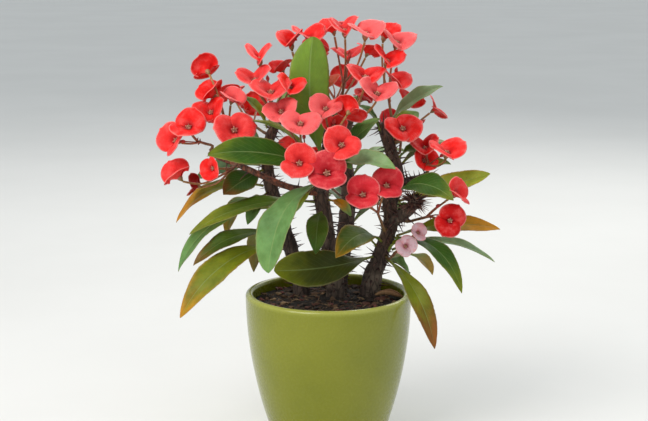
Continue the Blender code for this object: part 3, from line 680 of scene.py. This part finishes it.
def sheet(shape, us, vs, place, thickness, tone):
    """A thin closed body through place(u, v): the us run away and the vs to one side."""
    rows, columns = len(us), len(vs)
    grid = [[place(u, v) for v in vs] for u in us]
    top, bottom = [], []
    for i, u in enumerate(us):
        for j, v in enumerate(vs):
            along = grid[min(i + 1, rows - 1)][j] - grid[max(i - 1, 0)][j]
            sideways = grid[i][min(j + 1, columns - 1)] - grid[i][max(j - 1, 0)]
            half = sideways.cross(along).normalized() * thickness(u, v) / 2
            top.append(grid[i][j] + half)
            bottom.append(grid[i][j] - half)
    count = rows * columns
    faces = []
    for a in (i * columns + j for i in range(rows - 1) for j in range(columns - 1)):
        quad = (a, a + 1, a + 1 + columns, a + columns)
        faces.append(quad)
        faces.append(tuple(count + k for k in reversed(quad)))
    border = list(range(columns))
    border += [i * columns + columns - 1 for i in range(1, rows)]
    border += [(rows - 1) * columns + j for j in range(columns - 2, -1, -1)]
    border += [i * columns for i in range(rows - 2, 0, -1)]
    for a, b in zip(border, border[1:] + border[:1]):
        faces.append((b, a, count + a, count + b))
    tones = [tone(u, v) for u in us for v in vs]
    traits = [(u, v, side) for side in (1, -1) for u in us for v in vs]
    shape.add(top + bottom, faces, tones + tones, traits)


def blob(shape, middle, axis, length, radius, tone, rings, sides, point=1):
    """A small egg along an axis; point below 1 makes its far end sharper."""
    line = []
    for t in steps(rings):
        swell = sin(pi * min(0.985, max(0.015, t ** point)))
        line.append((middle + axis * length * (t - 0.5), radius * swell))
    tube(shape, line, sides, tone, kind=1)


# Pot

def outer_radius(height):
    return POT_RIM_RADIUS - POT_TAPER * (POT_HEIGHT - height) ** 2


def inner_radius(height):
    return outer_radius(height) - POT_WALL


def arc(centre, radius, start, end, count):
    """(radius, height) points of an arc, with its angles in degrees."""
    angles = [radians(start + (end - start) * k / count) for k in range(count + 1)]
    return [(centre[0] + radius * cos(a), centre[1] + radius * sin(a)) for a in angles]


def pot_profile():
    """(radius, height) points from the floor over the lip to under the foot."""
    lip = POT_WALL / 2
    foot = outer_radius(POT_FOOT_ROUND) - POT_FOOT_ROUND
    middle, hollow = 0.4, 0.8
    profile = [(middle, POT_FLOOR), (20, POT_FLOOR), (inner_radius(POT_FLOOR) - 3, POT_FLOOR)]
    profile += [(inner_radius(z), z) for z in range(10, POT_SHOULDER, 4)]
    profile += arc((outer_radius(POT_HEIGHT - lip) - lip, POT_HEIGHT - lip), lip, 180, 0, 14)
    profile += [(outer_radius(z), z) for z in range(POT_SHOULDER, 4, -3)]
    profile += arc((foot, POT_FOOT_ROUND), POT_FOOT_ROUND, 0, -90, 6)
    return profile + [(foot - 4, 0), (foot - 5.5, hollow), (15, hollow), (middle, hollow)]


def make_pot():
    """A turned cup with a rounded lip, whose side swells and dips a very little."""
    points, traits = [], []
    for radius, height in pot_profile():
        for way in spokes(POT_SIDES):
            wobble = 1 + 0.0022 * noise((way + UP * height / 40) * 1.3)
            points.append(way * radius * wobble + UP * height)
            traits.append((height / POT_HEIGHT, radius / POT_RIM_RADIUS, 0))
    faces = [tuple(reversed(face)) for face in closed_faces(len(points), POT_SIDES)]
    shape = Shape()
    shape.add(points, faces, TONES["glaze_light"], traits)
    shape.make("pot_glazed", [GLAZE], "glaze", "pot")


# Soil

def soil_height(x, y):
    """The soil's top: a low mound with lumps and crumbs, which fade at its edge."""
    share = min(1, hypot(x, y) / (inner_radius(SOIL_TOP) - SOIL_GAP))
    spot = Vector((x, y, 0))
    lump = 1.6 * noise(spot / 11)
    crumb = 1.1 * noise(spot / 3.1) + 0.6 * noise(spot / 1.4)
    return SOIL_TOP + SOIL_MOUND * (1 - share ** 2) + ease(1, 0.93, share) * (lump + crumb)


def make_soil():
    edge = inner_radius(SOIL_TOP) - SOIL_GAP
    ways = spokes(SOIL_SIDES)
    points = [UP * soil_height(0, 0)]
    for i in range(1, SOIL_RINGS + 1):
        spots = [way * edge * i / SOIL_RINGS for way in ways]
        points += [spot + UP * soil_height(spot.x, spot.y) for spot in spots]
    for height in (82, 44, 10):
        points += [way * (inner_radius(height) - SOIL_GAP) + UP * height for way in ways]
    faces = [(0, 1 + k, 1 + (k + 1) % SOIL_SIDES) for k in range(SOIL_SIDES)]
    faces += [(a, d, c, b) for a, b, c, d in ring_faces(1, len(points), SOIL_SIDES)]
    faces.append(tuple(reversed(range(len(points) - SOIL_SIDES, len(points)))))
    tones = [mix(TONES["soil_damp"], TONES["soil_dry"], 0.5 + 0.5 * noise(p / 17))
             for p in points]
    shape = Shape()
    shape.add(points, faces, tones, (0, 0, 0))
    shape.make("soil_top", [SOIL], "soil", "soil")


def soil_spot(margin):
    """A random place on the soil, clear of the trunks."""
    while True:
        radius = (inner_radius(SOIL_TOP) - margin) * sqrt(CHANCE.random())
        turn = draw(0, tau)
        x, y = radius * cos(turn), radius * sin(turn)
        if all(hypot(x - foot.x, y - foot.y) > TRUNK_CLEARANCE for foot in TRUNK_FEET):
            return x, y


def make_chips():
    chips = Shape()
    for _ in range(CHIP_COUNT):
        x, y = soil_spot(4)
        size = draw(1.2, 4.2)
        turn = Matrix.Rotation(draw(0, tau), 3, "Z")
        tilt = Matrix.Rotation(draw(-0.6, 0.6), 3, "X")
        middle = Vector((x, y, soil_height(x, y) + 0.25 * size))
        hull = bmesh.new()
        for _ in range(14):
            corner = Vector([draw(-r, r) for r in (1, 0.55, 0.28)]) * size
            hull.verts.new(middle + turn @ tilt @ corner)
        made = bmesh.ops.convex_hull(hull, input=hull.verts)
        inner = [g for g in made["geom_interior"] if isinstance(g, bmesh.types.BMVert)]
        bmesh.ops.delete(hull, geom=inner, context="VERTS")
        hull.verts.index_update()
        chips.add([v.co.copy() for v in hull.verts],
                  [tuple(v.index for v in face.verts) for face in hull.faces],
                  CHANCE.choice(CHIP_TONES), (0, 0, 0))
        hull.free()
    chips.make("soil_chips", [CHIPS], "soil", smooth=False)


def make_fibres():
    fibres = Shape()
    for _ in range(FIBRE_COUNT):
        x, y = soil_spot(6)
        turn = draw(0, tau)
        length = draw(5, 15)
        bend = draw(-0.5, 0.5)
        line = []
        for t in steps(FIBRE_STEPS):
            heading = turn + bend * (t - 0.5) * 3
            x += cos(heading) * length / FIBRE_STEPS
            y += sin(heading) * length / FIBRE_STEPS
            share = hypot(x, y) / (inner_radius(SOIL_TOP) - 2)
            if share > 1:
                x, y = x / share, y / share
            lift = 0.5 + 1.5 * sin(pi * t) * abs(bend)
            line.append((Vector((x, y, soil_height(x, y) + lift)), 0.26 * (1.15 - t)))
        tube(fibres, line, 5, mix(TONES["fibre_dark"], TONES["fibre_light"], CHANCE.random()))
    fibres.make("soil_fibres", [CHIPS], "soil")


def make_dry_leaf():
    """A dry leaf rolled up along its length, on the right of the soil."""
    heading, length, half_width, curl = Vector((0.93, -0.36, 0)), 21, 5.2, 2.1
    aside = heading.cross(UP)
    start = Vector((34, 1, soil_height(34, 1) + 1.2))

    def place(u, v):
        half = half_width * sin(pi * (0.06 + 0.9 * u)) ** 0.7
        crease = 0.5 * noise(Vector((u * 5, v * 3, 4)))
        rise = 2.6 + 3 * sin(pi * u) + crease - half / curl * cos(v * curl)
        return start + heading * length * u - aside * half / curl * sin(v * curl) + UP * rise

    def tone(u, v):
        return mix(TONES["dry_light"], TONES["dry_dark"], u * 0.6 + abs(v) * 0.4)

    dry = Shape()
    sheet(dry, steps(15), spread(8), place, lambda u, v: 0.35, tone)
    dry.make("dry_leaf", [CHIPS], "soil")


# Leaves

def seat_on(limb, share, target):
    """The point on a limb that faces a target, and the way out of the limb there."""
    line = LIMB_LINES[limb]
    place = share * (len(line) - 1)
    i = min(int(place), len(line) - 2)
    middle = line[i][0].lerp(line[i + 1][0], place - i)
    radius = line[i][1] + (line[i + 1][1] - line[i][1]) * (place - i)
    along = (line[i + 1][0] - line[i][0]).normalized()
    outward = Vector(target) - middle
    outward = (outward - along * outward.dot(along)).normalized()
    return middle + outward * (radius + SEAT), outward


def leaf_half_width(u, width):
    """Half the width at a share of the length: a broad leaf has the blunter tip."""
    blunt = ease(*LEAF_BROAD, width)
    widest, fall, power = (narrow + (broad - narrow) * blunt for narrow, broad
                           in (LEAF_WIDEST, LEAF_TIP_FALL, LEAF_TIP_ROUND))
    if u < widest:
        blade = sin(pi / 2 * (u / widest) ** 1.2)
    else:
        blade = (1 - ((u - widest) / (1 - widest)) ** fall) ** power
    stalk = LEAF_STALK / 2 * ease(1.02, 0.7, u)
    return max(0.12, stalk, blade * width / 2)


def leaf_colour(u, v, spot, tone, tip_tone, tip_start):
    """The blade's tone turning to the tip's, with a light foot and an uneven shade."""
    colour = LEAF_TONES[tone]
    if tip_start < 1:
        reached = u + 0.1 * abs(v) ** 3 + 0.1 * noise(spot * 2.2)
        turned = ease(tip_start - 0.22, tip_start + 0.22, reached)
        colour = mix(colour, LEAF_TONES[tip_tone], turned)
    colour = mix(colour, LEAF_TONES["lime"], 0.6 * ease(0.16, 0.02, u))
    if tip_tone in ("orange", "brown"):
        colour = mix(colour, LEAF_TONES[tip_tone], 0.4 * ease(0.8, 1, abs(v)))
    shade = 1 + 0.22 * noise(spot * 1.1 + UP * 7)
    return tuple(c * shade for c in colour)


def add_leaf(shape, number, limb, share, tip, width, arch, roll, fold, tone, tip_tone, tip_start):
    """A leaf with a grooved midrib, a waved and toothed edge and a thick short stalk."""
    base, _ = seat_on(limb, share, tip)
    tip = Vector(tip)
    rib = (tip - base).normalized()
    outward = Vector((rib.x, rib.y, 0)).normalized()
    raised = (UP * rib.dot(outward) - outward * rib.z).normalized()
    lift = tan(radians(fold))
    phase = number * 1.7

    def spot(u, v):
        return Vector((u * 4 + phase, v * 1.3, phase))

    def place(u, v):
        turned = radians(roll) * ease(-0.12, 1.12, min(1, u / LEAF_TWIST))
        face = Matrix.Rotation(turned, 3, rib) @ raised
        middle = base.lerp(tip, u) + 4 * arch * u * (1 - u) * raised
        half = leaf_half_width(u, width)
        ripple = 0.55 * v * v * sin(u * 17 + phase + (2 if v > 0 else 0))
        ripple += 0.9 * noise(spot(u, v)) * half / 12
        teeth = 0.05 * noise(Vector((u * 38, 3 * v, phase))) * abs(v) ** 3
        groove = 0.35 * exp(-(v * half / 0.9) ** 2) * ease(0.02, 0.2, u)
        rise = half * lift * abs(v) ** 1.35 + ripple * min(1, half / 5) - groove
        return middle + rib.cross(face) * half * v * (1 + teeth) + face * rise

    def thickness(u, v):
        blade = 0.42 * (1 - abs(v) ** 3) * ease(1, 0.85, u)
        bar = 0.75 * exp(-(v * leaf_half_width(u, width) / 0.8) ** 2) * (1 - 0.85 * u)
        stalk = 0.5 * ease(0.14, 0.02, u)
        return 0.22 + blade + bar + stalk

    rows = [1 - (1 - t) ** 1.45 for t in steps(LEAF_ROWS)]
    sheet(shape, rows, spread(LEAF_COLUMNS), place, thickness,
          lambda u, v: leaf_colour(u, v, spot(u, v), tone, tip_tone, tip_start))


def make_leaves():
    for number, leaf in enumerate(LEAVES, start=1):
        shape = Shape()
        add_leaf(shape, number, *leaf)
        shape.make(f"leaf_blade_{number:02d}", [LEAF], "leaf", f"leaf_{number:02d}")
    young = Shape()
    for number, (limb, share, tip, width, tone) in enumerate(YOUNG_LEAVES, start=len(LEAVES) + 1):
        roll = 35 if tip[0] > LIMB_LINES[limb][0][0].x else -35
        add_leaf(young, number, limb, share, tip, width, arch=3, roll=roll, fold=22, tone=tone,
                 tip_tone="light", tip_start=0.7)
    young.make("young_leaves", [LEAF], "leaf")


# Blooms

def bloom_axes(turn, lift, spin):
    """The way that a bloom faces, and the way that its first bract points."""
    turn, lift, spin = radians(turn), radians(lift), radians(spin)
    level = Vector((cos(turn), sin(turn), 0))
    facing = cos(lift) * Vector((sin(turn), -cos(turn), 0)) + sin(lift) * UP
    along = cos(spin) * level + sin(spin) * facing.cross(level)
    return facing, along


def make_bract(shape, origin, facing, along, reach, lean, tone, seed):
    """A round blade with a tiny point and a ruffled edge that rolls back.

    It is raised more like a wing than a cone. One side lies over its partner, one under it.
    """
    across = facing.cross(along)
    size = reach / (USUAL_WIDTH / 2)
    throat = 0.9 * size
    forward = cos(lean)
    aside = 1 - BRACT_CONE + BRACT_CONE * forward

    def place(t, angle):
        share = angle / BRACT_ROUND
        wide = abs(angle) / BRACT_SPREAD
        point = 0.07 * exp(-(share / 0.055) ** 2)
        uneven = 1 + 0.02 * noise(Vector((share * 3, seed, 1)))
        rim = reach * (1 - BRACT_SHRINK * wide ** 3 + point) * uneven
        radius = throat + (rim - throat) * t
        raised = BRACT_CONE + (1 - BRACT_CONE) * max(0, cos(angle))
        wing = sin(lean) * radius * raised
        dimple = 1.5 * size * (1 - t) ** 3
        belly = 0.09 * reach * sin(pi * t) * (1 - 0.5 * wide)
        curl = (0.12 + 0.05 * sin(seed)) * reach * t ** 5
        sway = 0.05 * reach * t ** 2 * sin(angle * 3.1 + seed * 2.3)
        crease = 0.05 * reach * t * exp(-(share / 0.12) ** 2)
        overlap = 0.6 * size * share * ease(0.55, 1, wide)
        ruffle = 0.4 * size * t ** 3 * noise(Vector((share * 4.5, t * 2, seed)))
        height = wing - dimple + belly - curl + sway - crease + overlap + ruffle
        flat = radius * (forward * cos(angle) * along + aside * sin(angle) * across)
        return origin + flat + height * facing

    angles = [-BRACT_ROUND * share for share in spread(BRACT_COLUMNS)]
    sheet(shape, steps(BRACT_ROWS), angles, place,
          lambda t, angle: 0.42 - 0.2 * t, lambda t, angle: tone)


def make_cup(shape, origin, facing, along, size, tone):
    """The cup in the middle: an urn with five lobed glands and a few stamens."""
    line = [(origin + height * size * facing, radius * size) for height, radius in CUP_RINGS]
    tones = [mix(TONES["cup_foot"], tone, i / 5) for i in range(len(CUP_RINGS))]
    # The top rings round the cup's mouth are darkened with painted shade.
    tones[-2:] = [TONES["cup_mouth_shade"]] * 2
    tube(shape, line, 12, tones, kind=1)
    other = facing.cross(along)
    for k, outward in enumerate(spokes(5, along, other, 0.4)):
        middle = origin + size * (1.75 * outward + 1.35 * facing)
        axis = (outward + 0.15 * facing).normalized()
        gland = TONES["gland_light" if k % 2 else "gland_dark"]
        blob(shape, middle, axis, 1.5 * size, 0.55 * size, gland, 4, 6)
    for k, outward in enumerate(spokes(4, along, other, 0.9)):
        foot = origin + size * (0.35 * outward + 0.4 * facing)
        head = foot + size * (0.35 * outward + (1.3 + 0.3 * (k % 2)) * facing)
        tube(shape, [(foot, 0.14 * size), (head, 0.12 * size)], 4, TONES["gland_light"], kind=1)
        blob(shape, head, facing, 0.6 * size, 0.32 * size, TONES["pollen"], 3, 5)


def add_thread(shape, points, radii, sides, low, high, reach=1, cloud=0, patch=1, rough=0):
    """A smooth stalk through some points, its tone running unevenly from low to high."""
    line = smooth_line([(*p, radius) for p, radius in zip(points, radii)], 2)
    tones = [mix(TONES[low], TONES[high], reach * i / len(line) + cloud * noise(p / patch))
             for i, (p, _) in enumerate(line)]
    tube(shape, line, sides, tones, kind=1, rough=rough)


def add_stalk(shape, limb, share, backs):
    """The stalk from a limb to the fork; gives the fork and the way down from it."""
    heads = sum((origin for origin, _, _ in backs), Vector()) / len(backs)
    ahead = sum((facing for _, facing, _ in backs), Vector()) / len(backs)
    seat, outward = seat_on(limb, share, heads)
    knee = seat + KNEE * outward
    drop = min(FORK_DROP, (heads - seat).length / 3)
    fork = seat.lerp(heads - drop * ahead, FORK_REACH) + 2 * outward
    add_thread(shape, (seat, knee, knee.lerp(fork, 0.5), fork), STALK_RADII, 9,
               "stalk_low", "stalk_high", reach=0.6, cloud=0.2, patch=9, rough=0.12)
    return fork, (knee - fork).normalized()


def add_twig(shape, root, down, origin, facing, size):
    """The twig from the fork to the back of a bloom, with two scales at its root."""
    back = origin - 4.2 * size * facing
    bend = root.lerp(back - 0.5 * (back - root).length * facing, 0.5).lerp(back, 0.3)
    add_thread(shape, (root, bend, back), TWIG_RADII, 8, "stalk_high", "stalk_end",
               cloud=0.3, patch=7, rough=0.08)
    for sign in (1, -1):
        way = (down.cross(facing) * sign + 0.5 * facing).normalized()
        blob(shape, root + way * 1.5, way, 3.2, 0.55, TONES["scale"], 4, 5, point=0.8)


def add_bud(shape, root, origin):
    """A closed red bud on a thin stalk that starts out towards a bloom."""
    sway = Vector((draw(-1, 1), draw(-1, 1), draw(0, 1))) * 4
    head = root.lerp(origin, 0.45) + sway
    add_thread(shape, (root, root.lerp(head, 0.5) + 0.3 * sway, head), BUD_STALK_RADII, 6,
               "stalk_high", "stalk_high")
    way = (head - root).normalized()
    blob(shape, head + way * 1.8, way, 5, 1.35, TONES["bud"], 7, 9, point=0.8)


def make_cluster(name, limb, share, blooms):
    """A stalk that forks into a twig for each bloom, with scales and buds at the fork."""
    faded = name.startswith("faded")
    shape = Shape()
    backs = []
    for middle, turn, lift, spin, width, lean, tone in blooms:
        facing, along = bloom_axes(turn, lift, spin)
        lean = radians(lean)
        reach = width / 2
        size = width / USUAL_WIDTH
        origin = Vector(middle) - 0.4 * reach * sin(lean) * facing
        for pair, direction in enumerate((along, -along)):
            seed = middle[0] * 0.37 + middle[2] * 0.11 + pair * 2.1
            own = tuple(c * (1 + 0.1 * sin(seed * 3)) for c in BLOOM_TONES[tone])
            make_bract(shape, origin, facing, direction, reach, lean, own, seed)
        cup_tone = TONES["cup_faded" if faded else "cup"]
        make_cup(shape, origin, facing, along, CUP_SHARE * size, cup_tone)
        backs.append((origin, facing, size))
    fork, down = add_stalk(shape, limb, share, backs)
    for k, back in enumerate(backs):
        add_twig(shape, fork + down * FORK_STEP * k, down, *back)
    for k in range(0 if faded else 2):
        add_bud(shape, fork + down * (FORK_STEP / 2 + FORK_STEP * k), backs[k % len(backs)][0])
    slot = "faded_bloom" if faded else "bloom"
    shape.make(name + "_cluster", [BRACT, STALK], slot, name)


# Stems and thorns

def grow_thorn(shape, heart, outward, radius, root, size, thick, growth):
    """A slightly bent thorn with a flared foot, unless a leaf or bloom is near."""
    foot, tip = heart + outward * (radius - root), heart + outward * (radius + size)
    spots = [foot.lerp(tip, share / 6) * METRE for share in range(2, 7)]
    nearest = [growth.find_nearest(spot, THORN_CLEARANCE * METRE)[0] for spot in spots]
    if nearest.count(None) < len(nearest):
        return
    along = (tip - foot).normalized()
    bend = along.orthogonal().normalized() * (tip - foot).length * 0.05 * draw(-1, 1)
    line = []
    for t in steps(THORN_STEPS):
        taper = thick * (0.78 * (1 - t) ** 0.9 + 0.8 * (1 - t) ** 9) + 0.04
        line.append((foot.lerp(tip, t) + bend * sin(pi * t), taper))
    tube(shape, line, 6, TONES["thorn"], mark=1)


def add_bark(shape, spine, is_twig):
    """The rough skin of a limb and its rounded tip; the twig is smoother and redder."""
    end, radius = spine[-1]
    along = (end - spine[-2][0]).normalized()
    line = list(spine)
    for k in range(1, TIP_RINGS + 1):
        a = pi / 2 * k / (TIP_RINGS + 0.4)
        line.append((end + along * radius * TIP_ROUND * sin(a), radius * cos(a)))
    fresh = TONES["bark_twig" if is_twig else "bark_young"]
    tones = []
    for i, (middle, _) in enumerate(line):
        young = 1.0 if is_twig else 0.7 * ease(0.3, 1, i / len(line))
        old = mix(TONES["bark_grey"], TONES["bark_brown"], 0.5 + noise(middle / 13))
        tones.append(mix(old, fresh, young))
    rough = 0.3 if is_twig else 0.55
    tube(shape, line, BARK_SIDES, tones, rough=rough, grain=BARK_GRAIN)


def add_side_thorns(shape, spine, step, growth):
    """Thorns of mixed length that wind round a limb, above the soil."""
    turn, travelled = 0, 0
    for (start, radius), (after, _) in zip(spine, spine[1:]):
        along = (after - start).normalized()
        level = along.orthogonal().normalized()
        length = (after - start).length
        while travelled < length:
            root = start + along * travelled
            travelled += step
            turn += GOLDEN_TURN + draw(-25, 25)
            size = CHANCE.choice(THORN_LENGTHS) * draw(0.8, 1.12)
            outward = Matrix.Rotation(radians(turn), 3, along) @ level
            outward = (outward + draw(-0.2, 0.4) * along).normalized()
            tip_height = root.z + outward.z * (radius + size)
            if min(root.z, tip_height) > SOIL_TOP + BARE_FOOT:
                grow_thorn(shape, root, outward, radius, 1.2, size, 0.5 + 0.035 * size, growth)
        travelled -= length


def add_crown(shape, spine, count, growth):
    """Thorns that crowd round the tip of a limb."""
    end, radius = spine[-1]
    along = (end - spine[-3][0]).normalized()
    level = along.orthogonal().normalized()
    heart = end - along * radius * 0.4
    for k in range(count):
        tilt = acos(1 - 1.35 * (k + 0.5) / count)
        outward = Matrix.Rotation(radians(GOLDEN_TURN * k), 3, along) @ level
        outward = (cos(tilt) * along + sin(tilt) * outward).normalized()
        astray = Vector([draw(-1, 1) for _ in range(3)])
        outward = (outward + 0.18 * astray).normalized()
        size = draw(6.5, 10.5)
        grow_thorn(shape, heart, outward, radius, 1.4, size, 0.52 + 0.03 * size, growth)


def make_stems(growth):
    """Rough limbs with thorns all round them, which crowd at the tips."""
    stems = {}
    for name, (stem, knots, crown) in LIMBS.items():
        shape = stems.setdefault(stem, Shape())
        spine = smooth_line(knots, FINE_STEP)
        is_twig = name == "middle_twig"
        add_bark(shape, spine, is_twig)
        add_side_thorns(shape, spine, TWIG_THORN_STEP if is_twig else THORN_STEP, growth)
        add_crown(shape, spine, crown, growth)
    for stem, shape in stems.items():
        shape.make("thorny_" + stem, [BARK], "bark", stem)


def growth_tree():
    """One search tree of all the leaves and blooms of the solids."""
    points, faces = [], []
    for name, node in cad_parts.items():
        if name.startswith("leaf") or "blooms" in name:
            first = len(points)
            points += [node.matrix_world @ v.co for v in node.data.vertices]
            faces += [[first + i for i in face.vertices] for face in node.data.polygons]
    return BVHTree.FromPolygons(points, faces)


LIMB_LINES = {name: smooth_line(knots, LIMB_STEP) for name, (_, knots, _) in LIMBS.items()}
TRUNK_FEET = [line[2][0] for name, line in LIMB_LINES.items() if LIMBS[name][1][0][2] == ROOT_END]

make_pot()
make_soil()
make_chips()
make_fibres()
make_dry_leaf()
make_leaves()
for name, cluster in CLUSTERS.items():
    make_cluster(name, *cluster)
make_stems(growth_tree())


# Stage

def make_floor():
    mesh = bpy.data.meshes.new("floor")
    corners = [(12 * x, 12 * y, 0) for x, y in ((-1, -1), (1, -1), (1, 1), (-1, 1))]
    mesh.from_pydata(corners, [], [(0, 1, 2, 3)])
    mesh.materials.append(floor_material())
    add_object("floor", mesh)


def add_light(name, place, size, power, colour):
    """A soft square light that looks at the plant."""
    data = bpy.data.lights.new(name, "AREA")
    data.size = size
    data.energy = power
    data.color = colour
    light = add_object(name, data)
    light.location = place
    aim = Vector((0, 0, 0.17)) - Vector(place)
    light.rotation_euler = aim.to_track_quat("-Z", "Y").to_euler()


make_floor()
add_light("key", (-0.75, -0.8, 1.25), size=0.9, power=17, colour=(1, 0.97, 0.93))
add_light("fill", (1, -0.75, 0.75), size=1.1, power=1.5, colour=(0.94, 0.97, 1))
add_light("back", (0.35, 1, 1.15), size=0.9, power=9, colour=(1, 0.98, 0.94))
sky = bpy.data.worlds.new("soft_sky")
sky.use_nodes = True
background = sky.node_tree.nodes["Background"].inputs
background["Color"].default_value = (0.86, 0.92, 0.95, 1)
background["Strength"].default_value = 0.7

camera = add_object("camera", bpy.data.cameras.new("camera"))
camera.data.lens = 80
camera.data.sensor_width = 36
camera.location = (-0.0032, -1.0149, 0.363)
camera.rotation_euler = (radians(79.2), 0, 0)
scene = bpy.context.scene
scene.world = sky
scene.camera = camera
scene.view_settings.view_transform = "Standard"
